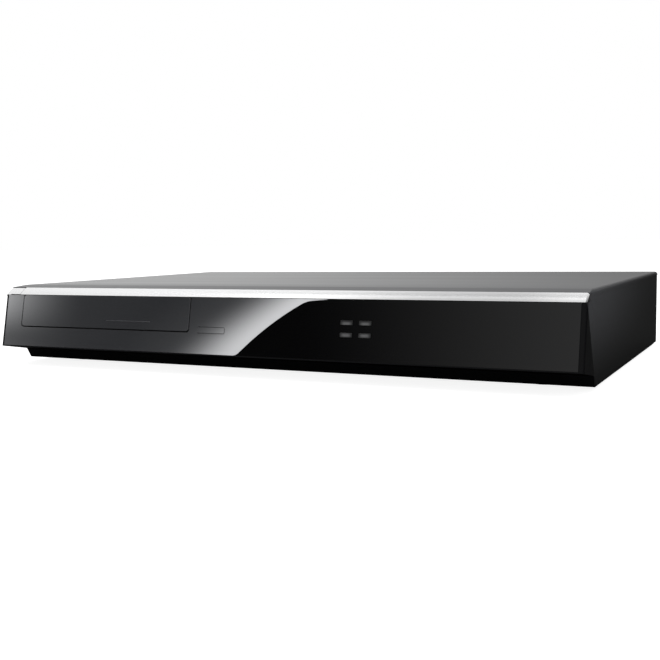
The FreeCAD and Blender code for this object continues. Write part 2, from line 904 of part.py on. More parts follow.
def power_board_notch():
    """The notch in the ledge that the power key's small board stands through."""
    return box(-half_width, -half_width + power_width + 3 + fit_gap, power_board_y - fit_gap,
               brow_y + ledge_depth + 1, brow_height - ledge_sheet - 1, brow_height + 1)


def strip_block(x0, x1):
    """The strip's section: a gently domed face from the brow up to the cover's front edge."""
    low = V(x0, brow_y, brow_height)
    high = V(x0, strip_back, strip_top)
    across = (high - low).normalize()
    middle = (low + high) * 0.5 + V(0, -across.z, across.y) * strip_bulge
    edges = [Part.Arc(low, middle, high).toShape()]
    edges.append(Part.LineSegment(high, V(x0, strip_back, brow_height)).toShape())
    edges.append(Part.LineSegment(V(x0, strip_back, brow_height), low).toShape())
    return Part.Face(Part.Wire(edges)).extrude(V(x1 - x0, 0, 0))


def end_round(shape, side):
    """Rounds the strip's outer top edge at one end of the case."""
    edges = []
    for edge in shape.Edges:
        if abs(edge.CenterOfMass.x - side * half_width) < 0.01 and edge.Curve.TypeId == "Part::GeomCircle":
            edges.append(edge)
    return shape.makeFillet(strip_end_radius, edges)


def make_trim_strip():
    left = -half_width + power_width + key_clearance
    bar = end_round(strip_block(left, half_width), 1)
    save("trim_strip", bar)


def make_power_button():
    key = end_round(strip_block(-half_width, -half_width + power_width), -1)
    key = key.cut(box(-half_width - 1, half_width, front_y, strip_back + 1, 0, brow_height + 0.2))
    key = key.cut(box(-half_width - 1, half_width, strip_back - power_travel, strip_back + 1, 0, case_height))
    stem_x = -half_width + power_width / 2
    stem = rod_y(stem_x, power_key_z, strip_back - power_travel - 0.5,
                 power_switch_front - stem_gap - power_travel,
                 key_stem_radius)
    save("power_button", joined([key, stem]))


def silver_corners(shift):
    z_low = lip_height + lip_rim
    z_high = brow_height - shadow_gap
    bend_x = split_corner_x + split_slope * split_bend_rise
    bend_z = lip_height + split_bend_rise
    top_x = bend_x + split_upper_slope * (z_high - split_tail_drop - bend_z)
    return [
        (-plate_edge + face_gap, z_low, 0),
        (split_corner_x + split_slope * lip_rim + shift, z_low, split_bottom_radius if shift == 0 else 0),
        (bend_x + shift, bend_z, split_bend_radius),
        (top_x + shift, z_high - split_tail_drop, split_tail_radius),
        (top_x + split_tail_length + shift, z_high - 0.2, 0),
        (top_x + split_tail_length + shift, z_high, 0),
        (-plate_edge + face_gap, z_high, 0),
    ]


def key_places():
    return [(x, z) for z in key_row_heights for x in key_xs]


def key_block(x, z, grow, near, far):
    return face_block(x - key_width / 2 - grow, x + key_width / 2 + grow, z - key_height / 2 - grow,
                      z + key_height / 2 + grow, near, far, 0.4 + grow)


def eject_block(grow, near, far):
    half_x, half_z = eject_width / 2 + grow, eject_height / 2 + grow
    return face_block(eject_x - half_x, eject_x + half_x, eject_z - half_z, eject_z + half_z, near, far, 0.6 + grow)


def lid_block(grow, near, far):
    return face_block(lid_left - grow, lid_right + grow, lid_bottom - grow,
                      brow_height - shadow_gap + grow * 2,
                      near, far, lid_corner)


def make_fascias():
    silver = rounded_face_block(silver_corners(0), 0, face_thickness)
    silver = silver.cut([lid_block(lid_gap, -1, face_thickness + 1), eject_block(key_clearance, -1,
                                                                                 wall_depth)])
    save("silver_fascia", silver)
    z_low = lip_height + lip_rim
    z_high = brow_height - shadow_gap
    whole = face_block(split_corner_x - 2, plate_edge - face_gap, z_low, z_high, 0, face_thickness)
    black = whole.cut(rounded_face_block(silver_corners(split_gap)[:6] + [(-plate_edge, z_high, 0)],
                                         -1, face_thickness + 1))
    keys = [key_block(x, z, key_clearance, -1, wall_depth) for x, z in key_places()]
    save("black_fascia", black.cut(keys))


def stem_end():
    return plunger_y - stem_gap


def make_keys():
    names = ("stop_key", "play_key", "record_key", "channel_key")
    for name, (x, z) in zip(names, key_places()):
        face = key_block(x, z, 0, -key_proud, wall_depth + 0.2)
        flange = key_block(x, z, key_flange_overlap, wall_depth + 0.2, wall_depth + 0.2 + key_flange)
        stem = rod_y(x, z, face_y(z) + wall_depth, stem_end() - key_travel, key_stem_radius)
        save(name, joined([face, flange, stem]))
    face = eject_block(0, -key_proud, wall_depth + 0.2)
    flange = eject_block(key_flange_overlap, wall_depth + 0.2, wall_depth + 0.2 + key_flange)
    stem = rod_y(eject_x, eject_z, face_y(eject_z) + wall_depth, stem_end() - eject_travel, key_stem_radius)
    save("eject_button", joined([face, flange, stem]))


def make_front_board():
    x0 = -half_width + front_board_left_inset
    x1 = half_width - front_board_right_inset
    board = box(x0, x1, front_board_y, front_board_y + board_sheet, front_board_low, front_board_high)
    power = box(-chassis_half + 2.5, -half_width + power_width + 3, power_board_y, power_board_y + board_sheet,
                power_board_low, brow_height + power_board_rise)
    save("front_boards", board, power)
    switches = []
    half = switch_size / 2
    places = [(x, z, front_board_y) for x, z in key_places() + [(eject_x, eject_z)]]
    places.append((-half_width + power_width / 2, power_key_z, power_board_y))
    for x, z, y in places:
        height = half if y == front_board_y else 2.2
        body = box(x - half, x + half, y - switch_body, y, z - height, z + height)
        plunger = rod_y(x, z, y - switch_body - switch_plunger, y - switch_body, switch_plunger_radius)
        switches.append(joined([body, plunger]))
    save("tact_switches", *switches)
    tube = box(window_left + 3, window_right - 3, front_board_y - tube_depth, front_board_y - 0.2,
               window_low - 2,
               window_high - 4)
    feet = [box(x, x + 3, front_board_y - 1, front_board_y, window_low, window_high - 6)
            for x in (window_left + 12, window_right - 15)]
    save("display_tube", joined([tube] + feet))
    x0 = sensor_x - sensor_width / 2
    case = box(x0, x0 + sensor_width, front_board_y - sensor_depth, front_board_y,
               sensor_z - sensor_height / 2,
               sensor_z + sensor_height / 2)
    lens = Part.makeSphere(2.2, V(sensor_x, front_board_y - sensor_depth, sensor_z))
    save("remote_sensor", joined([case, lens]))


# Tray
def make_tray():
    low = tray_bottom
    plate = box(drive_x - tray_half_width, drive_x + tray_half_width, tray_front, tray_rear, low, tray_top)
    rails = []
    for side in (-1, 1):
        inner = drive_x + side * (rail_half_width - tray_rail_width)
        outer = drive_x + side * rail_half_width
        rails.append(box(min(inner, outer), max(inner, outer), tray_front + 8, tray_rear, tray_rail_bottom,
                         tray_top - 2.0))
    rack_y0 = gear_y - rack_front_reach
    rack_y1 = gear_y + tray_travel + rack_rear_reach
    rack = rack_teeth(rack_x, gear_y, rack_y0, rack_y1, gear_z - 0.1, low, gear_module, gear_backlash, -1,
                      rack_back)
    tray = joined([plate, rack] + rails)
    slot = rod_z(drive_x, disc_y, low - 1, tray_top + 1, tray_slot_radius)
    run = box(drive_x - tray_slot_radius, drive_x + tray_slot_radius, disc_y, tray_rear + 1, low - 1,
              tray_top + 1)
    cuts = [
        rod_z(drive_x, disc_y, tray_floor, tray_top + 1, disc_well_radius),
        rod_z(drive_x, disc_y, tray_floor - small_disc_depth, tray_top, small_disc_radius),
        slot,
        run,
    ]
    for x in (-1, 1):
        cuts.append(rod_z(drive_x + x * tray_half_width, disc_y, low + 1.0, tray_top + 1, finger_notch_radius)
                    .common(box(drive_x - tray_half_width + 1, drive_x + tray_half_width - 1,
                                tray_front, tray_rear, low + 1.0, tray_top + 1)))
    save("disc_tray", tray.cut(cuts))


def make_tray_lid():
    face = lid_block(0, 0, face_thickness)
    lugs = []
    for side in (-1, 1):
        x = drive_x + side * lid_lug_offset
        z0, z1 = tray_bottom + 0.4, tray_top - 0.4
        lugs.append(box(x - lid_lug_width / 2, x + lid_lug_width / 2, face_y(z1) + face_thickness - 0.8,
                        tray_front,
                        z0, z1))
    save("tray_lid", joined([face] + lugs))


# Drive
def make_drive_chassis():
    x0, x1 = drive_x - drive_half_width, drive_x + drive_half_width
    floor = box(x0, x1, drive_front, drive_rear, drive_floor, drive_floor_top)
    parts = [floor]
    for side in (-1, 1):
        outer = drive_x + side * drive_half_width
        inner = drive_x + side * drive_inner
        step = drive_x + side * (drive_inner - tray_ledge_width)
        parts.append(box(min(inner, outer), max(inner, outer), drive_front, drive_rear, drive_floor,
                         drive_top))
        parts.append(box(min(inner, step), max(inner, step), drive_front, drive_rear,
                         tray_rail_bottom - 0.2 - tray_ledge_sheet, tray_rail_bottom - 0.2))
    parts.append(box(x0, x1, drive_rear - drive_wall, drive_rear, drive_floor, tray_rail_bottom - 1))
    for x, y in drive_tab_places():
        side = 1 if x > drive_x else -1
        wall_x = drive_x + side * (drive_half_width - 1)
        end_x = drive_x + side * (drive_half_width + tab_reach)
        parts.append(box(min(wall_x, end_x), max(wall_x, end_x), y - tab_length / 2, y + tab_length / 2,
                         drive_floor - tab_sheet, drive_floor))
        parts.append(box(min(wall_x, drive_x + side * (drive_half_width)), max(wall_x, drive_x + side *
                         drive_half_width), y - tab_length / 2, y + tab_length / 2, drive_floor - tab_sheet,
                         drive_floor + 1))
    for x, tip in ((drive_gear_x, gear_z + gear_face), (pulley_x, gear_z + gear_face)):
        parts.append(rod_z(x, gear_y, drive_floor, tip + 0.6, post_radius))
    for x in (drive_x - traverse_left - pivot_pin, drive_x + traverse_right + pivot_pin - pivot_bracket + 1):
        bracket = box(x - 1, x - 1 + pivot_bracket, pivot_y - 5, pivot_y + 5, drive_floor, pivot_z + 4)
        parts.append(bracket)
    for y0 in (cam_y - cam_gap - cam_rib, cam_y + cam_sheet + cam_gap):
        for xa, xb in cam_guide_spans():
            parts.append(box(xa, xb, y0, y0 + cam_rib, drive_floor, drive_floor_top + 4.5))
    chassis = joined(parts)
    window = box(drive_x - traverse_left - 1.5, drive_x + traverse_right + 1.5,
                 cam_y + cam_sheet + cam_gap + cam_rib,
                 pivot_y + traverse_rear + 6, drive_floor - 1, drive_floor_top + 1)
    cuts = [window, rod_z(motor_x, gear_y, drive_floor - 1, drive_floor_top + 1, shaft_radius + 1.5)]
    cuts.append(rod_x(pivot_y, pivot_z, drive_x - drive_inner, drive_x + drive_inner - 1, rod_radius +
                      running_clearance))
    for x, y in drive_tab_places():
        cuts.append(rod_z(x, y, drive_floor - tab_sheet - 1, drive_floor + 1.1, board_hole))
    for x, y in bridge_screw_places():
        cuts.append(rod_z(x, y, drive_top - 6, drive_top + 1, 0.8))
    save("drive_chassis", chassis.cut(cuts))


def cam_guide_spans():
    left = drive_x - cam_half_length
    right = drive_x + cam_half_length - cam_travel
    return [(left, left + 12.0), (right - 12.0, right)]


def bridge_screw_places():
    return [(drive_x + side * (drive_half_width - drive_wall / 2), disc_y) for side in (-1, 1)]


def make_clamp():
    half = bridge_length / 2
    bridge = box(drive_x - drive_half_width, drive_x + drive_half_width, disc_y - half, disc_y + half,
                 bridge_z,
                 bridge_z + bridge_sheet)
    cuts = [rod_z(drive_x, disc_y, bridge_z - 1, bridge_z + 2, clamper_neck + fit_gap)]
    for x, y in bridge_screw_places():
        cuts.append(rod_z(x, y, bridge_z - 1, bridge_z + 2, 1.0))
    save("clamp_bridge", bridge.cut(cuts))
    top = bridge_z + bridge_sheet + fit_gap
    flange = rod_z(drive_x, disc_y, top, top + clamper_sheet, clamper_radius)
    neck = rod_z(drive_x, disc_y, disc_plane + hub_rise + fit_gap, top, clamper_neck)
    lightening = [rod_z(drive_x + 8.2 * math.cos(a), disc_y + 8.2 * math.sin(a), top - 1.2, top + 3, 1.8)
                  for a in (0.0, 2 * math.pi / 3, 4 * math.pi / 3)]
    save("clamper", joined([flange, neck]).cut(lightening))


def make_loading_gears():
    gear = gear_blank(drive_gear_x, gear_y, gear_z, gear_z + gear_face, gear_module, drive_teeth,
                      math.pi / drive_teeth, gear_backlash)
    hub = rod_z(drive_gear_x, gear_y, drive_floor_top + 0.2, gear_z, 4.0)
    bore = rod_z(drive_gear_x, gear_y, 0, 60, post_radius + running_clearance)
    save("drive_gear", joined([gear, hub]).cut(bore))
    pinion = gear_blank(pulley_x, gear_y, gear_z, gear_z + gear_face, gear_module, pinion_teeth, 0.0,
                        gear_backlash)
    wheel = rod_z(pulley_x, gear_y, pulley_z, pulley_z + pulley_height, pulley_radius + pulley_flange)
    mid = pulley_z + pulley_height / 2
    groove = rod_z(pulley_x, gear_y, mid - belt_width / 2 - 0.3, mid + belt_width / 2 + 0.3,
                   pulley_radius + 5)
    groove = groove.cut(rod_z(pulley_x, gear_y, 0, 60, pulley_radius))
    neck = rod_z(pulley_x, gear_y, pulley_z + pulley_height, gear_z, 6.0)
    hub = rod_z(pulley_x, gear_y, drive_floor_top + 0.2, pulley_z, 4.0)
    bore = rod_z(pulley_x, gear_y, 0, 60, post_radius + running_clearance)
    save("pulley_gear", joined([pinion, wheel, neck, hub]).cut([groove, bore]))
    small = rod_z(motor_x, gear_y, pulley_z, pulley_z + pulley_height, motor_pulley_radius + pulley_flange)
    groove = rod_z(motor_x, gear_y, mid - belt_width / 2 - 0.3, mid + belt_width / 2 + 0.3, 12)
    groove = groove.cut(rod_z(motor_x, gear_y, 0, 60, motor_pulley_radius))
    bore = rod_z(motor_x, gear_y, 0, 60, shaft_radius + running_clearance)
    save("motor_pulley", small.cut([groove, bore]))
    z = mid - belt_width / 2
    slack = running_clearance * 2
    outer = belt_outline(pulley_x, pulley_radius + slack + belt_thickness, motor_x,
                         motor_pulley_radius + slack + belt_thickness, gear_y, z).extrude(V(0, 0, belt_width))
    inner = belt_outline(pulley_x, pulley_radius + slack, motor_x, motor_pulley_radius + slack, gear_y,
                         z).extrude(V(0, 0, belt_width))
    save("loading_belt", outer.cut(inner))
    body = rod_z(motor_x, gear_y, drive_floor - loading_motor_height, drive_floor, loading_motor_radius)
    shaft = rod_z(motor_x, gear_y, drive_floor, pulley_z + pulley_height + 0.5, shaft_radius)
    collar = rod_z(motor_x, gear_y, drive_floor, pulley_z - 0.3, shaft_radius + 1.2)
    save("loading_motor", joined([body, shaft, collar]))


def make_cam():
    low = cam_pin_height - cam_drop
    half = cam_pin_radius + cam_gap
    bottom = drive_floor_top + 0.2
    bar = box(drive_x - cam_half_length, drive_x + cam_half_length, cam_y, cam_y + cam_sheet, bottom,
              bottom + 4.0)
    hump = box(drive_x - 6, drive_x + cam_travel + 6, cam_y, cam_y + cam_sheet, bottom,
               cam_pin_height + half + cam_border)
    slot = [rod_y(drive_x, cam_pin_height, cam_y - 1, cam_y + cam_sheet + 1, half)]
    slot.append(rod_y(drive_x + cam_travel, low, cam_y - 1, cam_y + cam_sheet + 1, half))
    run = V(cam_travel, 0, low - cam_pin_height)
    across = V(-run.z, 0, run.x).normalize() * half
    corners = [(drive_x + across.x, cam_pin_height + across.z),
               (drive_x - across.x, cam_pin_height - across.z),
               (drive_x + run.x - across.x, low - across.z), (drive_x + run.x + across.x, low + across.z)]
    slot.append(prism_y(corners, cam_y - 1, cam_y + cam_sheet + 1))
    save("lift_cam", joined([bar, hump]).cut(joined(slot)))


def make_traverse():
    x0, x1 = drive_x - traverse_left, drive_x + traverse_right
    y0, y1 = disc_y - traverse_front, pivot_y + traverse_rear
    plate = box(x0, x1, y0, y1, traverse_top - traverse_sheet, traverse_top)
    rim = []
    cuts = [box(drive_x - pickup_half_width - 1, drive_x + pickup_half_width + 1,
                disc_y + spindle_motor_radius + 0.2,
                lens_y + pickup_rear + pickup_travel + 1.5, 0, 60)]
    cuts.append(rod_z(drive_x, disc_y, 0, 60, spindle_motor_radius - 3))
    cuts.append(rod_z(feed_wheel_x, feed_pinion_y, 0, 60, 2.0))
    lug = box(drive_x - 4, drive_x + 4, y0, y0 + 3, traverse_top - traverse_sheet, cam_pin_height + 3)
    pin = rod_y(drive_x, cam_pin_height, cam_y - 1, y0 + 1, cam_pin_radius)
    for side, x in ((-1, x0), (1, x1)):
        rim.append(rod_x(pivot_y, pivot_z, min(x - side * 2, x + side * (pivot_pin + 1)),
                         max(x - side * 2, x + side * (pivot_pin + 1)), rod_radius))
    blocks = []
    for side in (-1, 1):
        x = drive_x + side * rod_offset
        for y in (rod_front(), rod_rear() - rod_block):
            block = box(x - rod_block, x + rod_block, y, y + rod_block, traverse_top,
                        rod_z_height + rod_radius + 0.8)
            blocks.append(block)
    wheel_post = rod_z(feed_wheel_x, feed_wheel_y, traverse_top, feed_z + feed_face + 0.4, post_radius)
    frame = joined([plate, lug, pin, wheel_post] + rim + blocks).cut(cuts)
    for side in (-1, 1):
        frame = frame.cut(rod_y(drive_x + side * rod_offset, rod_z_height, rod_front() - 1, rod_rear() + 1,
                                rod_radius))
    save("traverse_frame", frame)
    rods = [rod_y(drive_x + side * rod_offset, rod_z_height, rod_front(), rod_rear(), rod_radius)
            for side in (-1, 1)]
    save("guide_rods", *rods)
    motor = rod_z(drive_x, disc_y, traverse_top - traverse_sheet - spindle_motor_height + 2.5,
                  traverse_top - traverse_sheet, spindle_motor_radius)
    stator = rod_z(drive_x, disc_y, traverse_top - traverse_sheet, traverse_top + 3.5,
                   spindle_motor_radius - 3.2)
    shaft = rod_z(drive_x, disc_y, traverse_top + 3.5, disc_plane - 1, post_radius)
    save("spindle_motor", joined([motor, stator, shaft]))
    table = rod_z(drive_x, disc_y, disc_plane - 3.2, disc_plane, turntable_radius)
    skirt = rod_z(drive_x, disc_y, traverse_top + 3.8, disc_plane - 3.2, turntable_radius - 4)
    hub = Part.makeCone(hub_radius, hub_radius - 0.8, hub_rise, V(drive_x, disc_y, disc_plane))
    bore = rod_z(drive_x, disc_y, 0, disc_plane - 0.9, post_radius + running_clearance)
    save("turntable", joined([table, skirt, hub]).cut(bore))


def rod_front():
    return disc_y + spindle_motor_radius - 1.5 - rod_block


def rod_rear():
    return lens_y + ear_half * 2 + pickup_travel + 8 + rod_block


def make_pickup():
    y0, y1 = lens_y - pickup_front, lens_y + pickup_rear
    body = box(drive_x - pickup_half_width, drive_x + pickup_half_width, y0, y1, pickup_bottom, pickup_top)
    ears = []
    ear_low = traverse_top + 0.3
    ear_high = rod_z_height + rod_radius + 0.6
    for side in (-1, 1):
        edge = drive_x + side * (pickup_half_width - 1)
        far = drive_x + side * (rod_offset + 3.5)
        ears.append(box(min(edge, far), max(edge, far), lens_y - 5, lens_y + 11, ear_low, ear_high))
    rack_y0 = feed_wheel_y - pickup_travel - 3.0
    rack_y1 = feed_wheel_y + 3.0
    rack = rack_teeth(feed_rack_x, feed_wheel_y, rack_y0, rack_y1, feed_z, feed_z + feed_face, feed_module,
                      feed_backlash, 1, 2.4)
    arm = box(drive_x + rod_offset + 3, feed_rack_x - 1.25 * feed_module - 0.5, lens_y - 4, lens_y + 8,
              feed_z,
              feed_z + feed_face)
    cuts = [rod_y(drive_x + side * rod_offset, rod_z_height, lens_y - 20, lens_y + 30,
                  rod_radius + running_clearance)
            for side in (-1, 1)]
    save("pickup", joined([body, rack, arm] + ears).cut(cuts))
    mount = box(drive_x - 7, drive_x + 7, lens_y - 6, lens_y + 6, pickup_top, pickup_top + 0.8)
    lens = rod_z(drive_x, lens_y, pickup_top + 0.8, pickup_top + lens_rise, lens_radius)
    dome = Part.makeSphere(lens_radius * 1.4, V(drive_x, lens_y, pickup_top + lens_rise - lens_radius * 0.95))
    cap = dome.common(rod_z(drive_x, lens_y, pickup_top + lens_rise, pickup_top + lens_rise + 2,
                            lens_radius - 0.6))
    save("pickup_lens", joined([mount, lens, cap]))


def make_feed():
    wheel = gear_blank(feed_wheel_x, feed_wheel_y, feed_z, feed_z + feed_face, feed_module, feed_teeth,
                       math.pi / feed_teeth, feed_backlash)
    boss = rod_z(feed_wheel_x, feed_wheel_y, traverse_top + 0.15, feed_z, 3.0)
    bore = rod_z(feed_wheel_x, feed_wheel_y, 0, 60, post_radius + running_clearance)
    save("feed_gear", joined([wheel, boss]).cut(bore))
    pinion = gear_blank(feed_wheel_x, feed_pinion_y, feed_z, feed_z + feed_face, feed_module,
                        feed_pinion_teeth,
                        math.pi / 2, feed_backlash)
    save("feed_pinion", pinion.cut(rod_z(feed_wheel_x, feed_pinion_y, 0, 60,
                                         shaft_radius + running_clearance)))
    top = traverse_top - traverse_sheet
    motor = rod_z(feed_wheel_x, feed_pinion_y, top - feed_motor_height, top, feed_motor_radius)
    shaft = rod_z(feed_wheel_x, feed_pinion_y, top, feed_z + feed_face + 0.3, shaft_radius)
    save("feed_motor", joined([motor, shaft]))


def make_drive_board():
    y1 = drive_rear - drive_board_gap
    y0 = y1 - drive_board_depth
    half = drive_board_width / 2
    under = drive_floor - board_sheet
    parts = [box(drive_x - half, drive_x + half, y0, y1, under, drive_floor)]
    for across, behind, wide, deep, high in drive_chip_table:
        parts.append(box(drive_x + across, drive_x + across + wide, y0 + behind, y0 + behind + deep, under - high,
                         under))
    save("drive_board", joined(parts))


def screw_down(x, y, z, length):
    """A pan-head screw with its head on z."""
    head = rod_z(x, y, z, z + screw_head, screw_head_radius)
    cross = [box(x - 1.5, x + 1.5, y - 0.35, y + 0.35, z + 0.7, z + 3)]
    cross.append(box(x - 0.35, x + 0.35, y - 1.5, y + 1.5, z + 0.7, z + 3))
    return joined([head, rod_z(x, y, z - length, z, screw_radius)]).cut(cross)


def make_screws():
    screws = [screw_down(x, y, drive_floor, tab_sheet + screw_length) for x, y in drive_tab_places()]
    screws += [screw_down(x, y, board_top, screw_length) for x, y in main_board_holes() + power_board_holes()]
    for x, y in bridge_screw_places():
        head = rod_z(x, y, bridge_z + bridge_sheet, bridge_z + bridge_sheet + 1.2, 1.5)
        screws.append(joined([head, rod_z(x, y, bridge_z - 4, bridge_z + bridge_sheet, 0.75)]))
    save("inner_screws", *screws)


# Boards
def on_main_board(across):
    """The x of a place on the main board, from its left edge, or from its right edge where it is below zero."""
    return (main_left if across >= 0 else main_right) + across


def make_main_board():
    rear = panel_front - main_rear_margin
    back = panel_front - fit_gap
    outline = [(main_left, main_front), (main_right, main_front), (main_right, back), (main_wing_left, back),
               (main_wing_left, main_wing_front), (main_left, main_wing_front)]
    board = prism_z(outline, board_z, board_top)
    holes = [rod_z(x, y, board_z - 1, board_top + 1, board_hole) for x, y in main_board_holes()]
    save("main_board", board.cut(holes))
    chips = []
    for across, behind, wide, deep, high in main_chip_table:
        x, y = on_main_board(across), main_front + behind
        chips.append(box(x - wide / 2, x + wide / 2, y - deep / 2, y + deep / 2, board_top, board_top + high))
    for across, behind, radius, high in main_can_table:
        chips.append(rod_z(on_main_board(across), main_front + behind, board_top, board_top + high, radius))
    save("main_chips", *chips)
    x, y = on_main_board(main_processor[0]), main_front + main_processor[1]
    top = board_top + main_processor[4]
    half = sink_size / 2
    fins = [box(x - half, x + half, y - half, y + half, top, top + sink_base)]
    pitch = (sink_size - sink_fin) / (sink_fins - 1)
    for index in range(sink_fins):
        x0 = x - half + index * pitch
        fins.append(box(x0, x0 + sink_fin, y - half, y + half, top, top + sink_height))
    save("main_heat_sink", joined(fins))
    x0, x1 = aerial_x - tuner_left, aerial_x + tuner_right
    can = box(x0, x1, panel_front - tuner_depth, panel_front, board_top, aerial_heights()[1] + 9)
    seams = [box(x0 - 1, x1 + 1, y - 0.2, y + 0.2, aerial_heights()[1] + 3, aerial_heights()[1] + 10)
             for y in (panel_front - tuner_depth / 3, panel_front - 2 * tuner_depth / 3)]
    save("tuner_can", can.cut(seams))


def on_power_board(place, size):
    """A block on the power board, with its near left corner at the place."""
    x, y = power_left + place[0], power_front + place[1]
    return box(x, x + size[0], y, y + size[1], board_top, board_top + size[2])


def make_power_board():
    board = box(power_left, power_right, power_front, power_rear, board_z, board_top)
    holes = [rod_z(x, y, board_z - 1, board_top + 1, board_hole) for x, y in power_board_holes()]
    save("power_board", board.cut(holes))
    blocks = []
    for size in (transformer_core, transformer_coil):
        corner = (transformer_place[0] - size[0] / 2, transformer_place[1] - size[1] / 2)
        blocks.append(on_power_board(corner, size))
    save("power_transformer", joined(blocks))
    caps = []
    for across, behind, radius, high in power_can_table:
        caps.append(rod_z(power_left + across, power_front + behind, board_top, board_top + high, radius))
    save("power_capacitors", *caps)
    blade = [on_power_board(blade_place, (blade_sheet, blade_length, blade_height))]
    pitch = (blade_length - blade_fin) / (blade_fins - 1)
    for index in range(blade_fins):
        corner = (blade_place[0] + blade_sheet, blade_place[1] + index * pitch)
        blade.append(on_power_board(corner, (blade_reach, blade_fin, blade_height)))
    save("power_heat_sink", joined(blade))
    filters = [on_power_board(filter_box_place, filter_box), on_power_board(fuse_place, fuse_box)]
    x = power_left + choke_place[0]
    filters.append(rod_x(power_front + choke_place[1], board_top + choke_radius, x, x + choke_length,
                         choke_radius))
    save("mains_filter", *filters)


# Flat and round leads inside the case
def ribbon(spans):
    """A flat lead made of flat spans that meet face to face."""
    return joined([box(*span) for span in spans])


def make_leads():
    y = front_board_y + board_sheet
    low, high = board_top, front_board_low + 5.0
    x0 = sensor_x
    x1 = x0 + lead_width
    fold = y + lead_bend
    front = [(x0, x1, y, fold, high, high + lead_sheet)]
    front.append((x0, x1, fold - lead_sheet, fold, low + lead_sheet, high + lead_sheet))
    front.append((x0, x1, fold - lead_sheet, main_front + ribbon_landing, low, low + lead_sheet))
    save("front_ribbon", ribbon(front))
    z = board_top + wire_rise
    wires = []
    for index in range(wire_count):
        y = main_front + 78.0 + index * wire_pitch
        x0, x1 = main_right - 6.0, power_left + 5.0
        path = [V(x0, y, board_top), V(x0, y, z), V(x1, y, z), V(x1, y, board_top)]
        wires.append(bent_wire(path, wire_radius, wire_bend))
    save("power_harness", *wires)


def bent_wire(path, radius, bend):
    """A round lead along straight runs joined by arcs."""
    edges = []
    start = path[0]
    for index in range(1, len(path) - 1):
        here = path[index]
        back = (path[index - 1] - here).normalize()
        ahead = (path[index + 1] - here).normalize()
        half = back.getAngle(ahead) / 2
        reach = bend / math.tan(half)
        middle = here + (back + ahead).normalize() * (bend / math.sin(half) - bend)
        edges.append(Part.LineSegment(start, here + back * reach).toShape())
        edges.append(Part.Arc(here + back * reach, middle, here + ahead * reach).toShape())
        start = here + ahead * reach
    edges.append(Part.LineSegment(start, path[-1]).toShape())
    ring = Part.Wire(Part.makeCircle(radius, path[0], path[1] - path[0]))
    return Part.Wire(edges).makePipeShell([ring], True, False)


# Rear sockets
def socket_sleeve(x, z, collar_radius, radius, bore_radius, bore_depth):
    """A round socket that stands out of the rear panel, with a collar where it passes through the panel."""
    collar = rod_y(x, z, panel_front, panel_back + socket_collar_sheet, collar_radius)
    sleeve = rod_y(x, z, panel_back, jack_end, radius)
    bore = rod_y(x, z, jack_end - bore_depth, jack_end + 1, bore_radius)
    return joined([collar, sleeve]).cut(bore)


def phono_sleeve(x, z):
    return socket_sleeve(x, z, phono_collar, phono_radius, phono_bore, phono_bore_depth)


def make_sockets():
    margin = phono_collar + block_margin
    middle = (phono_low + phono_high) / 2
    groups = []
    for xs, height, low, high in (
        (phono_columns(), phono_low, board_top, middle),
        (phono_columns(), phono_high, middle, phono_high + margin),
        (component_columns(), phono_high, middle, phono_high + margin),
    ):
        x0, x1 = min(xs) - margin, max(xs) + margin
        block = box(x0, x1, panel_front - block_depth, panel_front, low, high)
        if xs == component_columns():
            block = joined([block, box(x0, x0 + 4, panel_front - block_depth, panel_front, board_top, low)])
        groups.append(joined([block] + [phono_sleeve(x, height) for x in xs]))
    save("av_input_jacks", groups[0])
    save("av_output_jacks", *groups[1:])
    aerials = []
    for z in aerial_heights():
        aerials.append(socket_sleeve(aerial_x, z, aerial_collar, aerial_radius, aerial_bore,
                                     aerial_bore_depth))
    save("aerial_sockets", *aerials)
    half_w, half_h = hdmi_width / 2, hdmi_height / 2
    y0, y1 = panel_back + 0.8 - hdmi_depth, panel_back + 0.8
    corners = [(hdmi_x - half_w, phono_low + half_h), (hdmi_x + half_w, phono_low + half_h),
               (hdmi_x + half_w, phono_low - 0.6), (hdmi_x + half_w - 2, phono_low - half_h),
               (hdmi_x - half_w + 2, phono_low - half_h), (hdmi_x - half_w, phono_low - 0.6)]
    shell = prism_y(corners, y0, y1)
    inner = [(hdmi_x + (x - hdmi_x) * (half_w - hdmi_wall) / half_w,
              phono_low + (z - phono_low) * (half_h - hdmi_wall) / half_h) for x, z in corners]
    hollow = prism_y(inner, y0 + 1.5, y1 + 1)
    tongue = box(hdmi_x - 5.5, hdmi_x + 5.5, y0 + 1, y1 - 1.5, phono_low - 0.2, phono_low + 0.9)
    foot = box(hdmi_x - half_w + 2, hdmi_x + half_w - 2, y0, y0 + 9, board_top, phono_low - half_h + 0.3)
    save("hdmi_socket", joined([shell.cut(hollow), tongue, foot]))
    half = optical_size / 2
    body = box(optical_x - half, optical_x + half, panel_front - 11, panel_back + 0.6, board_top,
               phono_low + half)
    body = body.cut(box(optical_x - 30, optical_x + 30, panel_front - 0.1, panel_back + 1, 0,
                        phono_low - half))
    mouth = box(optical_x - 3.4, optical_x + 3.4, panel_back - 1.0, panel_back + 1, phono_low - 3.4,
                phono_low + 3.4)
    save("optical_socket", body.cut(mouth))


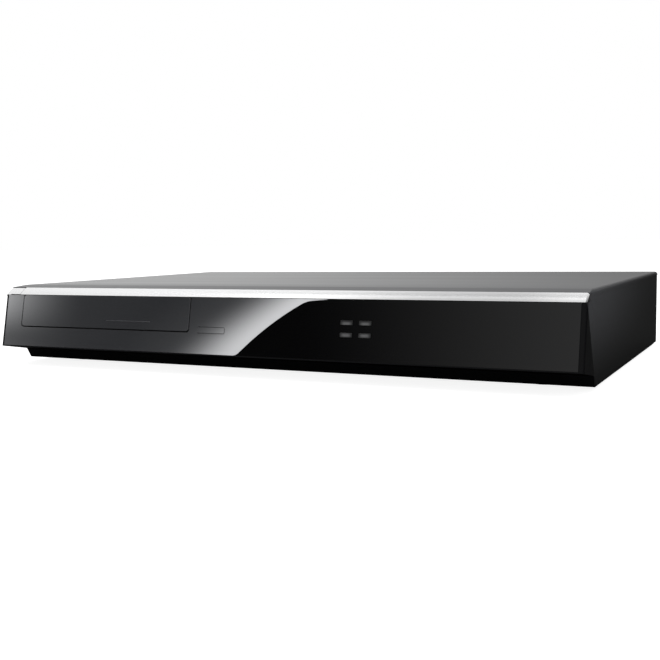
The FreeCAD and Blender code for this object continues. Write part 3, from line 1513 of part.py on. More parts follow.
def make_mains_inlet():
    radius = inlet_height / 2
    offset = inlet_width / 2 - radius
    y_end = panel_back + inlet_lip
    body = box(inlet_x - inlet_width / 2 - inlet_wall, inlet_x + inlet_width / 2 + inlet_wall,
               y_end - inlet_depth - 3, y_end, inlet_z - inlet_height / 2 - inlet_wall,
               inlet_z + inlet_height / 2 + inlet_wall)
    hollow = [rod_y(inlet_x + side * offset, inlet_z, y_end - inlet_depth, y_end + 1,
                    radius) for side in (-1, 1)]
    hollow.append(box(inlet_x - offset, inlet_x + offset, y_end - inlet_depth, y_end + 1, inlet_z - radius,
                      inlet_z + radius))
    pins = [rod_y(inlet_x + side * inlet_pin_pitch / 2, inlet_z, y_end - inlet_depth - 2, y_end - 2,
                  inlet_pin_radius) for side in (-1, 1)]
    foot = box(inlet_x - 7, inlet_x + 7, y_end - inlet_depth - 3, panel_front - 1, board_z, inlet_z - radius)
    save("mains_inlet", joined([body.cut(joined(hollow)), foot] + pins).cut(
        box(power_left, power_right + 1, power_front, power_rear, 0, board_top)))


def make_fan():
    half = fan_size / 2
    y0 = panel_front - fan_depth
    frame = box(fan_x - half, fan_x + half, y0, panel_front, fan_z - half, fan_z + half)
    frame = frame.cut([rod_y(fan_x, fan_z, y0 - 1, panel_front + 1, fan_bore)])
    hub = rod_y(fan_x, fan_z, y0, y0 + 1.6, fan_hub)
    arms = []
    for index in range(3):
        arm = box(fan_x - 1, fan_x + 1, y0, y0 + 1.6, fan_z + fan_hub - 1, fan_z + fan_bore + 0.5)
        arms.append(arm.rotate(V(fan_x, 0, fan_z), V(0, 1, 0), 120 * index))
    shaft = rod_y(fan_x, fan_z, y0 + 1, panel_front - 1.6, shaft_radius)
    foot = box(fan_x - 14, fan_x + 14, y0, panel_front - chassis_sheet - fit_gap, floor_z, fan_z - half)
    reach = fan_hole_pitch / 2
    corners = [(fan_x + side * reach, fan_z + rise * reach) for side in (-1, 1) for rise in (-1, 1)]
    holes = [rod_y(x, z, y0 - 1, panel_front + 1, fan_hole) for x, z in corners]
    frame = joined([frame, hub, shaft, foot] + arms).cut(holes)
    save("fan_frame", frame)
    ya, yb = y0 + 1.9, panel_front - 1.0
    tip = fan_bore - fan_tip_gap
    rotor = [rod_y(fan_x, fan_z, ya, yb, fan_hub)]
    keep = rod_y(fan_x, fan_z, ya, yb, tip)
    for index in range(fan_blades):
        blade = box(fan_x - fan_blade_sheet / 2, fan_x + fan_blade_sheet / 2, (ya + yb) / 2 - 8,
                    (ya + yb) / 2 + 8,
                    fan_z + fan_hub - 1, fan_z + tip + 3)
        blade = blade.rotate(V(fan_x, (ya + yb) / 2, fan_z), V(0, 0, 1), fan_blade_pitch)
        blade = blade.rotate(V(fan_x, 0, fan_z), V(0, 1, 0), 360.0 * index / fan_blades)
        rotor.append(blade.common(keep))
    bore = rod_y(fan_x, fan_z, ya - 1, yb + 1, shaft_radius + running_clearance)
    save("fan_rotor", joined(rotor).cut(bore))


def main():
    os.makedirs("parts", exist_ok=True)
    make_top_cover()
    make_rear_panel()
    make_bottom_chassis()
    make_feet()
    make_case_screws()
    make_front_frame()
    make_trim_strip()
    make_power_button()
    make_fascias()
    make_keys()
    make_front_board()
    make_tray()
    make_tray_lid()
    make_drive_chassis()
    make_clamp()
    make_loading_gears()
    make_cam()
    make_traverse()
    make_pickup()
    make_feed()
    make_drive_board()
    make_screws()
    make_main_board()
    make_power_board()
    make_leads()
    make_sockets()
    make_mains_inlet()
    make_fan()


main()
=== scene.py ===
"""Dresses the disc recorder: finishes for every part of it, the small parts that the solids leave out, and a plain
white studio. Lengths are in metres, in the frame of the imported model: X to the right, Y to the back, Z up."""

import math
import random

import bmesh
import bpy
from bpy.props import FloatProperty, FloatVectorProperty, PointerProperty
from mathutils import Euler, Matrix, Vector


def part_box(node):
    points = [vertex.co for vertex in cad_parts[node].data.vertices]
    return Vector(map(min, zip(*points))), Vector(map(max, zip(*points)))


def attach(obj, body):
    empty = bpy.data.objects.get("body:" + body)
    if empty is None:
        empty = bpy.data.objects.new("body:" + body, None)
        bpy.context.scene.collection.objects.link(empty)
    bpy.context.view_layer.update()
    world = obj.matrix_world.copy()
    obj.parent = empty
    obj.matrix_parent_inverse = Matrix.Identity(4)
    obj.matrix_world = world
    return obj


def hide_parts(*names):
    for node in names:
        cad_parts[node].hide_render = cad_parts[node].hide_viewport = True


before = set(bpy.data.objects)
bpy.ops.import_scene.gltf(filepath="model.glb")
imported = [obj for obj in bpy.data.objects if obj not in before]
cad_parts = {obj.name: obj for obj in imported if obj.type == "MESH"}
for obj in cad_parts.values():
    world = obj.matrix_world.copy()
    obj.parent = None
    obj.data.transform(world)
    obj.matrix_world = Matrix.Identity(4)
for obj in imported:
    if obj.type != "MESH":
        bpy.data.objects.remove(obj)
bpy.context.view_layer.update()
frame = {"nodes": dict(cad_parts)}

bl_info = {
    "name": "Disc recorder",
    "version": (1, 0, 0),
    "blender": (4, 5, 0),
    "location": "3D View > Sidebar > Disc recorder",
    "description": "Finishes and fine parts for a disc recorder with a sliding tray",
    "category": "Object",
}

MM = 0.001


# Shader maths


class Shade:
    """A shader socket that can stand in a sum. Shade(tree) alone has no socket and only adds nodes."""

    def __init__(self, tree, socket=None):
        self.tree = tree
        self.socket = socket

    def node(self, kind, settings=None, inputs=None, output=0):
        """Adds a node, sets it, fills its sockets with values or links, and returns one of its outputs."""
        made = self.tree.nodes.new("ShaderNode" + kind)
        for name, value in (settings or {}).items():
            if name == "stops":
                self.set_stops(made.color_ramp, value)
            else:
                setattr(made, name, value)
        for name, value in (inputs or {}).items():
            if isinstance(value, Shade):
                self.tree.links.new(value.socket, made.inputs[name])
            else:
                made.inputs[name].default_value = value
        return Shade(self.tree, made.outputs[output] if made.outputs else None)

    @staticmethod
    def set_stops(ramp, stops):
        while len(ramp.elements) < len(stops):
            ramp.elements.new(0.5)
        for element, (place, colour) in zip(ramp.elements, stops):
            element.position = place
            element.color = (*colour, 1.0) if len(colour) == 3 else colour

    def out(self, name):
        """Another output of the same node."""
        return Shade(self.tree, self.socket.node.outputs[name])

    def maths(self, operation, *values):
        return self.node("Math", {"operation": operation}, dict(enumerate(values)))

    def __add__(self, other):
        return self.maths("ADD", self, other)

    __radd__ = __add__

    def __sub__(self, other):
        return self.maths("SUBTRACT", self, other)

    def __rsub__(self, other):
        return self.maths("SUBTRACT", other, self)

    def __mul__(self, other):
        return self.maths("MULTIPLY", self, other)

    __rmul__ = __mul__

    def __truediv__(self, other):
        return self.maths("DIVIDE", self, other)

    def __pow__(self, other):
        return self.maths("POWER", self, other)

    def __abs__(self):
        return self.maths("ABSOLUTE", self)

    def between(self, low, high, at_low=0.0, at_high=1.0):
        """Goes smoothly from at_low to at_high while this value goes from low to high."""
        inputs = {"Value": self, "From Min": low, "From Max": high, "To Min": at_low, "To Max": at_high}
        return self.node("MapRange", {"interpolation_type": "SMOOTHSTEP"}, inputs)

    def mix(self, under, over):
        """The colour under where this value is 0, and the colour over where it is 1."""
        sides = {"Factor": self, 6: as_colour(under), 7: as_colour(over)}
        return self.node("Mix", {"data_type": "RGBA"}, sides, output=2)

    def tint(self, colour):
        """A colour made lighter or darker by this value."""
        return self.node("VectorMath", {"operation": "SCALE"}, {0: colour, "Scale": self})

    def channels(self):
        """The red, green and blue of this colour."""
        red = self.node("SeparateColor", {}, {"Color": self}, output="Red")
        return red, red.out("Green"), red.out("Blue")

    def place(self, stretch=(1.0, 1.0, 1.0)):
        """The point on the piece, in its own coordinates, scaled along each axis."""
        point = self.node("TexCoord", output="Object")
        if stretch == (1.0, 1.0, 1.0):
            return point
        return self.node("Mapping", {}, {"Vector": point, "Scale": stretch})

    def axes(self):
        """The three parts of this vector."""
        split = self.node("SeparateXYZ", {}, {"Vector": self}, output="X")
        return split, split.out("Y"), split.out("Z")

    def noise(self, scale, detail=2.0, roughness=0.5, stretch=(1.0, 1.0, 1.0)):
        inputs = {"Vector": self.place(stretch), "Scale": scale, "Detail": detail, "Roughness": roughness}
        return self.node("TexNoise", {}, inputs)

    def cells(self, scale, feature="F1", output="Distance"):
        inputs = {"Vector": self.place(), "Scale": scale}
        return self.node("TexVoronoi", {"feature": feature}, inputs, output=output)


def empty_nodes(owner):
    """The cleared nodes of a material or a world, as a Shade that adds to them."""
    owner.use_nodes = True
    owner.node_tree.nodes.clear()
    return Shade(owner.node_tree)


def as_colour(value):
    """A colour with its alpha, where it has none yet."""
    if isinstance(value, Shade) or len(value) == 4:
        return value
    return (*value, 1.0)


def toned(colour, level):
    """The colour times a level."""
    return tuple(channel * level for channel in colour)


def material(name, build, **constants):
    """A material whose shader is filled in by build, which returns what varies over the surface. Its Height is a
    value with the strength and the depth of the bump that it makes."""
    made = bpy.data.materials.new(name)
    start = empty_nodes(made)
    varied = build(start)
    height = varied.pop("Height", None)
    inputs = {**constants, **varied}
    if height is not None:
        value, strength, distance = height
        bump = {"Strength": strength, "Distance": distance, "Height": value}
        inputs["Normal"] = start.node("Bump", {}, bump, output="Normal")
    for key, value in list(inputs.items()):
        if isinstance(value, tuple):
            inputs[key] = as_colour(value)
    shader = start.node("BsdfPrincipled", {}, inputs)
    start.node("OutputMaterial", {}, {"Surface": shader})
    return made


# Finishes


def paint_marks(start):
    """What baked paint on sheet steel shows: a fine orange peel, soft clouds and drawn streaks."""
    peel = start.noise(1900.0, 3.0, 0.6)
    cloud = start.noise(9.0, 3.0)
    drawn = start.noise(420.0, 2.0, 0.5, stretch=(0.02, 1.0, 1.0))
    return peel, cloud, drawn


def satin_paint(name, colour, roughness, grain, streak):
    """Satin paint with a few streaks and slightly uneven gloss."""

    def build(start):
        peel, cloud, drawn = paint_marks(start)
        tone = cloud.between(0.3, 0.7, 0.94, 1.06) * drawn.between(0.35, 0.65, 1.0 - streak, 1.0 + streak)
        base = tone.tint(colour)
        rough = roughness + cloud * 0.05 + drawn * streak * 0.25
        return {"Base Color": base, "Roughness": rough, "Height": (peel, grain, 0.00004)}

    return material(name, build, **{"Specular IOR Level": 0.3})


def cover_paint(name, colour, roughness, corner, front):
    """The cover's paint: clear-coated on the top, where broad streaks run across, and plainer along the front bend.
    Its colour
    holds painted light: a painted shadow of the strip's seam along the front bend, lighter at the front and darker at
    the back all over, and painted shade on the side walls that darkens them towards the foot and the back."""

    def build(start):
        x, y, z = start.place().axes()
        peel, cloud, drawn = paint_marks(start)
        broad = start.noise(90.0, 4.0, 0.7, stretch=(0.03, 1.0, 0.3))
        # Painted shadow: darker over the front 4 mm, where the seam with the strip shades the bend
        seam_shadow = y.between(front, front + 0.004, 0.45, 1.0)
        tone = cloud.between(0.3, 0.7, 0.94, 1.06) * drawn.between(0.35, 0.65, 0.93, 1.07) * seam_shadow
        # Painted shade on the side walls: darker towards the foot and towards the back
        wall = abs(x).between(corner.x - 0.0015, corner.x - 0.0001)
        wall_shade = z.between(0.002, corner.z, 0.1, 1.6) * y.between(-0.14, 0.14, 1.15, 0.35)
        # Painted light over the whole cover: lighter towards the front, darker towards the back
        tone = tone * y.between(-0.14, 0.14, 1.7, 0.8) * (1.0 - wall + wall * wall_shade)
        base = tone.tint(colour)
        rough = roughness + cloud * 0.05 + drawn * 0.02
        level = z.between(corner.z - 0.004, corner.z - 0.001) * y.between(front, front + 0.05, 0.25, 1.0)
        coat = level * broad.between(0.3, 0.7, 0.58, 0.78) * x.between(-0.2, 0.2, 0.95, 0.55)
        return {"Base Color": base, "Roughness": rough, "Coat Weight": coat, "Height": (peel, 0.25, 0.00004)}

    return material(name, build, **{"Specular IOR Level": 0.22, "Coat Roughness": 0.3, "Coat IOR": 1.6})


def moulded_plastic(name, colour, roughness, grain=0.35, scale=2600.0, wear=0.12, specular=0.5):
    """Injection-moulded plastic with a spark-eroded grain and slight cloudiness."""

    def build(start):
        spark = start.noise(scale, 2.0, 0.7)
        cloud = start.noise(22.0, 4.0, 0.55)
        scuff = start.noise(160.0, 3.0, 0.7, stretch=(0.25, 1.0, 1.0)).between(0.62, 0.78)
        light = tuple(channel + (0.6 - channel) * wear for channel in colour)
        base = (scuff * cloud).mix(colour, light)
        rough = roughness + cloud.between(0.3, 0.7, -0.04, 0.04) + scuff * 0.05
        return {"Base Color": base, "Roughness": rough, "Height": (spark, grain, 0.00005)}

    return material(name, build, **{"Specular IOR Level": specular})


def brushed_metal(name, colour, roughness, stretch=(0.03, 1.0, 1.0), scale=1500.0, grain=0.25, tarnish=0.06):
    """Bare or plated metal with fine lines along one way and faint tarnish."""

    def build(start):
        lines = start.noise(scale, 3.0, 0.6, stretch=stretch)
        cloud = start.noise(35.0, 3.0)
        base = cloud.between(0.45, 0.75).mix(colour, toned(colour, 1.0 - 4.0 * tarnish))
        rough = roughness + lines.between(0.3, 0.7, -0.05, 0.07) + cloud * 0.06
        return {"Base Color": base, "Roughness": rough, "Height": (lines, grain, 0.00002)}

    return material(name, build, Metallic=1.0)


def zinc_sheet(name, colour):
    """Hot-dipped zinc: crystal spangles a few millimetres across, each with its own shine."""

    def build(start):
        shine = start.cells(170.0, output="Color").channels()[0]
        edge = start.cells(170.0, "DISTANCE_TO_EDGE").between(0.0, 0.06)
        cloud = start.noise(14.0, 3.0)
        tone = shine.between(0.0, 1.0, 0.86, 1.04) * edge.between(0.0, 1.0, 0.93, 1.0)
        base = tone.tint(colour)
        rough = 0.34 + shine * 0.14 + cloud * 0.08
        return {"Base Color": base, "Roughness": rough, "Height": (shine + cloud, 0.1, 0.00005)}

    return material(name, build, Metallic=1.0)


def rubber(name, colour):
    """Dull rubber with a fine grain and pale dust."""

    def build(start):
        grain = start.noise(1400.0, 3.0, 0.7)
        dust = start.noise(60.0, 4.0, 0.6).between(0.5, 0.75)
        base = (dust * 0.5).mix(colour, (0.09, 0.088, 0.085))
        rough = 0.68 + dust * 0.15
        return {"Base Color": base, "Roughness": rough, "Height": (grain, 0.4, 0.00006)}

    return material(name, build, **{"Sheen Weight": 0.15})


def piano_gloss(name, colour, specular, roughness=0.04):
    """Polished acrylic over a dark backing: almost a mirror, with a trace of ripple and a few dust specks."""

    def build(start):
        ripple = start.noise(45.0, 2.0)
        cloud = start.noise(8.0, 2.0)
        speck = start.cells(900.0).between(0.0, 0.08, 1.0, 0.0) * start.noise(70.0).between(0.6, 0.7)
        base = (speck * 0.6).mix(colour, (0.12, 0.12, 0.12))
        rough = roughness + cloud * 0.02 + speck * 0.3
        return {"Base Color": base, "Roughness": rough, "Height": (ripple, 0.02, 0.0001)}

    return material(name, build, **{"Specular IOR Level": specular})


def faded_metallic(name, dark, light, joint, width, specular):
    """Lacquer under clear acrylic that fades from dark to silver towards the bowed joint with the black panel, with a
    painted reflection that makes it lighter again at its far upper end."""

    def build(start):
        x, _, z = start.place().axes()
        rise = z - joint["z"]
        edge = joint["x"] + rise * joint["lean"] + rise * rise * joint["bow"]
        fade = (x - edge).between(-width, 0.0) ** 3.2
        # Painted reflection: lighter towards the far left end, most of all near the top
        end = x.maths("MAXIMUM", (joint["far"] - x) / joint["end"], 0.0) ** 2.2 * z.between(0.02, 0.052, 0.2, 1.15)
        spark = start.cells(5200.0, output="Color").channels()[0]
        faint = (x - edge).between(-width * 1.4, -width * 0.4, 0.0, 0.035)
        tone = fade + faint + end * 0.33 + spark * 0.01
        base = tone.mix(dark, light)
        rough = 0.10 + fade * 0.14 + spark * 0.03
        return {"Base Color": base, "Roughness": rough, "Metallic": 0.1 + fade * 0.1}

    return material(name, build, **{"Specular IOR Level": specular, "Coat Weight": 0.5, "Coat Roughness": 0.03})


def strip_metal(name, colour, low, high):
    """Satin metal strip with painted shade: darker towards its lower edge, where it rolls under, and along its right
    half.
    """

    def build(start):
        x, _, z = start.place().axes()
        lines = start.noise(1500.0, 3.0, 0.6, stretch=(0.03, 1.0, 1.0))
        # Painted shade: darker along the right half, and towards the lower edge, most of all at the right
        right_half_shade = x.between(0.04, 0.15) * x.between(0.175, 0.213, 1.0, 0.3)
        roll = z.between(low.z, low.z + 0.0055, 1.0, 0.0) * x.between(-0.1, 0.12, 0.1, 0.72)
        tone = (1.0 - right_half_shade * 0.3) * (1.0 - roll)
        base = tone.tint(colour)
        rough = 0.24 + lines.between(0.3, 0.7, -0.02, 0.03)
        return {"Base Color": base, "Roughness": rough, "Height": (lines, 0.03, 0.00002)}

    return material(name, build, Metallic=1.0)


def shaded_key(name, colour, places, half, height):
    """Small dark lacquered keys with a painted highlight: a silver stripe along the middle that runs into the dark of
    the panel.
    """

    def build(start):
        x, _, z = start.place().axes()
        cloud = start.noise(600.0)
        near = x.maths("MINIMUM", *(abs(x - place) for place in places))
        # Painted highlight: a lit stripe along the middle of each key, fading off towards its ends
        across = near.between(half * 0.25, half, 1.0, 0.05)
        highlight_band = abs(z - height).between(0.0, 0.0016, 1.0, 0.0)
        fade = highlight_band * across
        base = fade.mix((0.004, 0.004, 0.0045), colour)
        return {"Base Color": base, "Roughness": 0.3 + cloud * 0.1, "Metallic": fade * 0.3}

    return material(name, build)


def circuit_board(name, mask, copper, pitch):
    """Solder mask over copper: runs of parallel tracks that change direction, and rows of small pads."""

    def build(start):
        x, y, _ = start.place().axes()
        inputs = {"Vector": start.place(), "Scale": 75.0, "Randomness": 0.8}
        patch = start.node("TexVoronoi", {"distance": "CHEBYCHEV"}, inputs, output="Color")
        turn, crowd, studs = patch.channels()
        way = turn.maths("GREATER_THAN", turn, 0.5)
        across = x * way + y * (1.0 - way)
        lines = across.maths("PINGPONG", across, pitch).between(pitch * 0.42, pitch * 0.58)
        tracks = lines * crowd.between(0.35, 0.4)
        dots = start.cells(420.0).between(0.16, 0.2, 1.0, 0.0) * studs.between(0.45, 0.5)
        base = dots.mix(tracks.mix(mask, copper), (0.55, 0.53, 0.47))
        weave = start.noise(500.0, 2.0)
        rough = 0.38 - tracks * 0.06 + weave * 0.1
        height = (tracks + dots, 0.35, 0.00006)
        return {"Base Color": base, "Roughness": rough, "Metallic": dots * 0.9, "Height": height}

    return material(name, build)


def clear_glass(name, colour, roughness, alpha):
    """Clear or tinted glass with a slight haze."""

    def build(start):
        haze = start.noise(120.0, 3.0)
        return {"Roughness": roughness + haze * 0.02, "Alpha": alpha + haze * 0.05}

    return material(name, build, **{"Base Color": colour, "Specular IOR Level": 0.7, "Coat Weight": 0.3})


def ribbon_film(name, colour, pitch):
    """Flat cable: white film over fine side-by-side conductors."""

    def build(start):
        x, _, _ = start.place().axes()
        core = x.maths("PINGPONG", x, pitch / 2).between(pitch * 0.12, pitch * 0.3)
        base = core.mix(colour, toned(colour, 0.72))
        return {"Base Color": base, "Roughness": 0.35 + core * 0.1, "Height": (core, 0.5, 0.0001)}

    return material(name, build)


def wound_tape(name, colour):
    """Yellow winding tape with overlapping turns."""

    def build(start):
        _, y, z = start.place().axes()
        turns = z.maths("PINGPONG", z + y * 0.02, 0.0022).between(0.0, 0.0006)
        cloud = start.noise(90.0, 3.0)
        base = turns.mix(toned(colour, 0.6), colour)
        return {"Base Color": base, "Roughness": 0.3 + cloud * 0.15, "Height": (turns, 0.5, 0.0001)}

    return material(name, build)


# Sizes and colours that a user would change


def colour_property(name, description, default):
    return FloatVectorProperty(name=name, description=description, subtype="COLOR", min=0.0, max=1.0, default=default)


def number_property(name, description, default, low, high, **kind):
    return FloatProperty(name=name, description=description, default=default, min=low, max=high, **kind)


class RecorderCase(bpy.types.PropertyGroup):
    """Cover, chassis, rear panel and feet."""

    cover: colour_property("Cover paint", "Colour of the sheet-steel top cover", (0.018, 0.0185, 0.02))
    cover_roughness: number_property(
        "Cover roughness", "How dull the cover's paint is", 0.36, 0.05, 1.0, subtype="FACTOR"
    )
    rear: colour_property("Rear paint", "Colour of the rear panel", (0.045, 0.045, 0.047))
    zinc: colour_property("Zinc", "Colour of the bottom chassis", (0.62, 0.63, 0.64))
    rubber: colour_property("Foot rubber", "Colour of the feet", (0.02, 0.02, 0.021))


class RecorderFront(bpy.types.PropertyGroup):
    """Front panel, lid and keys."""

    frame: colour_property("Front frame", "Colour of the cheeks and lip", (0.004, 0.0041, 0.0046))
    strip: colour_property("Strip", "Colour of the metal strip along the top edge", (0.96, 0.963, 0.967))
    fade_dark: colour_property(
        "Panel, dark end", "Colour of the left panel far from the slanted joint", (0.026, 0.027, 0.030)
    )
    fade_light: colour_property(
        "Panel, light end", "Colour of the left panel at the slanted joint", (0.78, 0.785, 0.8)
    )
    fade_width: number_property(
        "Fade width", "How far the left panel takes to go from dark to silver", 0.08, 0.01, 0.2, unit="LENGTH"
    )
    black: colour_property("Right panel", "Colour of the gloss black panel", (0.0014, 0.0014, 0.0016))
    # The keys' colour shows only in their painted highlight; the rest of each key is near black
    key: colour_property("Keys", "Colour of the small keys", (0.12, 0.121, 0.123))


class RecorderInside(bpy.types.PropertyGroup):
    """Drive, boards and rear sockets."""

    drive: colour_property("Drive plastic", "Colour of the drive's chassis and tray", (0.03, 0.03, 0.032))
    gear: colour_property("Gears", "Colour of the gears, cam and clamp disc", (0.8, 0.79, 0.75))
    board: colour_property("Board", "Colour of the solder mask", (0.012, 0.085, 0.035))


class RecorderStage(bpy.types.PropertyGroup):
    """Floor, light and camera."""

    lens: number_property("Lens", "Focal length on a 36 mm sensor, in millimetres", 50.4, 10.0, 200.0)
    surround: number_property("Surround light", "Strength of the light from all round", 0.85, 0.0, 2.0)
    overhead: number_property("Overhead light", "Power of the lamp above, in watts", 9.0, 0.0, 100.0)


# Pieces


def dress(finish, *names):
    """Gives CAD nodes a finish."""
    for name in names:
        node = frame["nodes"][name]
        node.data.materials.clear()
        node.data.materials.append(finish)


# A CAD node is loose triangles, so its corners are joined and its flat faces made whole before its edges are rounded
EDGE_STEPS = (
    ("WELD", {"merge_threshold": 0.002 * MM}),
    ("DECIMATE", {"decimate_type": "DISSOLVE", "angle_limit": math.radians(0.5)}),
    ("BEVEL", {"segments": 2, "limit_method": "ANGLE", "angle_limit": math.radians(38.0), "use_clamp_overlap": True}),
    ("WEIGHTED_NORMAL", {"keep_sharp": True}),
)


def soften(width, *names):
    """Rounds the sharp edges of CAD nodes a little, as moulded and folded edges are."""
    for name in names:
        node = frame["nodes"][name]
        for kind, settings in EDGE_STEPS:
            made = node.modifiers.new(kind.lower(), kind)
            for key, value in settings.items():
                setattr(made, key, value)
        node.modifiers["bevel"].width = width


def mm(*values):
    """A point given in millimetres."""
    return Vector(values) * MM


def add_block(shape, low, high, edge=0.0, segments=2):
    """A box between two corners in millimetres, with rounded edges."""
    low, high = mm(*low), mm(*high)
    made = bmesh.ops.create_cube(shape, size=1.0)["verts"]
    bmesh.ops.scale(shape, vec=high - low, verts=made)
    bmesh.ops.translate(shape, vec=(low + high) / 2, verts=made)
    if edge:
        edges = list({link for vert in made for link in vert.link_edges})
        bmesh.ops.bevel(
            shape, geom=edges, offset=edge * MM, offset_type="OFFSET", segments=segments, profile=0.5,
            affect="EDGES", material=-1, clamp_overlap=True,
        )


def add_blocks(shape, *blocks):
    """Boxes, each with its two corners and the width of its rounded edges."""
    for block in blocks:
        add_block(shape, *block)


def add_slab(shape, x, y, half_x, half_y, low, high, *edge):
    """A box about a point, from one height to another."""
    add_block(shape, (x - half_x, y - half_y, low), (x + half_x, y + half_y, high), *edge)


def add_turned(shape, profile, centre, axis="Y", steps=32):
    """A turned form: a profile, as pairs of radius and distance along the axis from the centre, spun once round."""
    turns = {
        "X": Matrix.Rotation(math.pi / 2, 3, "Y"),
        "Y": Matrix.Rotation(-math.pi / 2, 3, "X"),
        "Z": Matrix.Identity(3),
    }
    turn = turns[axis]
    centre = mm(*centre)
    verts = [shape.verts.new(centre + turn @ mm(radius, 0.0, along)) for radius, along in profile]
    edges = [shape.edges.new(pair) for pair in zip(verts, verts[1:])]
    before = set(shape.verts) - set(verts)
    bmesh.ops.spin(
        shape, geom=verts + edges, cent=centre, axis=turn @ Vector((0.0, 0.0, 1.0)), angle=2 * math.pi, steps=steps,
        use_merge=True,
    )
    made = [vert for vert in shape.verts if vert not in before]
    bmesh.ops.remove_doubles(shape, verts=made, dist=0.0005 * MM)


def add_frame(shape, low, high, y, line, proud):
    """A thin rectangular outline on a face that looks along Y."""
    for x0, x1, z0, z1 in (
        (low[0], high[0], low[1], low[1] + line),
        (low[0], high[0], high[1] - line, high[1]),
        (low[0], low[0] + line, low[1] + line, high[1] - line),
        (high[0] - line, high[0], low[1] + line, high[1] - line),
    ):
        add_block(shape, (x0, y, z0), (x1, y + proud, z1))


def add_object(name, data):
    made = bpy.data.objects.new(name, data)
    bpy.context.scene.collection.objects.link(made)
    return made


def piece(name, shape, finish, body="case", stands_for=()):
    """Makes the shape an object in its place, which rides on a body."""
    bmesh.ops.recalc_face_normals(shape, faces=shape.faces)
    for face in shape.faces:
        face.smooth = True
    mesh = bpy.data.meshes.new(name)
    shape.to_mesh(mesh)
    shape.free()
    mesh.set_sharp_from_angle(angle=math.radians(32.0))
    mesh.materials.append(finish)
    made = add_object(name, mesh)
    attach(made, body)
    if stands_for:
        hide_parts(*stands_for)
    return made


# Places in millimetres that the rear sockets and the boards share with the solids

PANEL_FRONT = 130.9
PANEL_BACK = 131.7
BOARD_TOP = 13.6
LIP = (-143.0, 14.8)  # the foot of the leaning front face, as y and z
LEAN = 7.8 / 38.0  # how far the face leans back for each millimetre of height
LID_LINE = (-117.0, -78.0, 35.5)  # from x to x at a height
KEY_ROWS = (("upper", 38.0, ("stop_key", "play_key")), ("lower", 31.0, ("record_key", "channel_key")))
KEY_LIT = 4.1  # half the width that is lit
OPTICAL_X = 10.0
HDMI_X = 36.0
INLET = (182.0, 22.0)
INLET_PIN = 4.3  # from the inlet's middle to each pin
PHONO_ROWS = ((-58.0, 22.0), (-44.0, 22.0), (-30.0, 22.0)), ((-58.0, 37.0), (-44.0, 37.0), (-30.0, 37.0))
COMPONENT_ROW = ((4.0, 37.0), (18.0, 37.0), (32.0, 37.0))
AERIALS = ((-96.0, 21.0), (-96.0, 37.0))
DISC_CENTRE = (-123.0, -58.5)
LENS_Y = -34.5
TRANSFORMER = (164.0, 30.0)
CHOKE = (180.0, 102.0, 16.2)
FUSE = (187.0, 91.0, 20.2)
# Each chip's middle, width, depth and height. Each capacitor's middle, radius and height.
CHIPS = (
    (22.0, -40.0, 28.0, 28.0, 3.0),
    (62.0, -46.0, 12.0, 22.0, 1.2),
    (62.0, -18.0, 12.0, 22.0, 1.2),
    (90.0, 10.0, 20.0, 20.0, 2.0),
    (0.0, 20.0, 16.0, 16.0, 2.0),
    (40.0, 60.0, 18.0, 12.0, 2.0),
)
LEG_PITCH = 0.8
LEG_HALF = 0.17
CHIP_MARGIN = 2.6  # what small parts keep clear of round a chip and, below, round a capacitor
CAN_MARGIN = 2.5
PARTS_FIELD = ((-34.0, 112.0), (-92.0, 110.0))
PART_SIZE = (1.6, 0.8)
MAIN_CANS = ((-18.0, -70.0, 4.0, 11.0), (0.0, -76.0, 4.0, 11.0), (102.0, -70.0, 5.0, 12.0), (102.0, 40.0, 4.0, 11.0))
POWER_CANS = (
    (186.0, 68.0, 10.0, 30.0),
    (148.0, -8.0, 6.5, 22.0),
    (164.0, -12.0, 6.5, 22.0),
    (180.0, -10.0, 5.0, 20.0),
    (148.0, -30.0, 5.0, 16.0),
)

# In metres and degrees

# The bowed joint between the two front panels, and the left end where a painted reflection makes the panel lighter
# again
JOINT = {"x": -0.007, "z": 0.0156, "lean": 1.06, "bow": 9.5, "far": -0.133, "end": 0.072}
LAMP_PLACE = (-0.1, -0.35, 1.25)
LAMP_SIZE = (1.4, 0.9)
LAMP_TILT = (-14.0, -4.0, 0.0)
CAMERA_PLACE = (0.3186, -0.6421, 0.0892)
CAMERA_TURN = (27.188, 5.593, -1.073)  # to the left, down, and about the view
FLOOR_HALF = 12.0


def face_y(z):
    """Where the leaning front face stands at a height, in millimetres."""
    return LIP[0] + LEAN * (z - LIP[1])


class RECORDER_OT_case(bpy.types.Operator):
    """Finishes the cover, the chassis, the rear panel, the feet and the case screws"""

    bl_idname = "recorder.case"
    bl_label = "Case"

    def execute(self, context):
        sizes = context.scene.recorder_case
        low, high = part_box("top_cover")
        dress(cover_paint("cover_paint", tuple(sizes.cover), sizes.cover_roughness, high, low.y), "top_cover")
        dress(satin_paint("rear_paint", tuple(sizes.rear), 0.45, 0.4, 0.02), "rear_panel")
        dress(zinc_sheet("zinc_sheet", tuple(sizes.zinc)), "bottom_chassis")
        dress(rubber("foot_rubber", tuple(sizes.rubber)), "feet")
        dress(brushed_metal("screw_steel", (0.10, 0.10, 0.105), 0.3), "case_screws")
        soften(0.4 * MM, "top_cover")
        soften(0.15 * MM, "rear_panel", "case_screws")
        return {"FINISHED"}


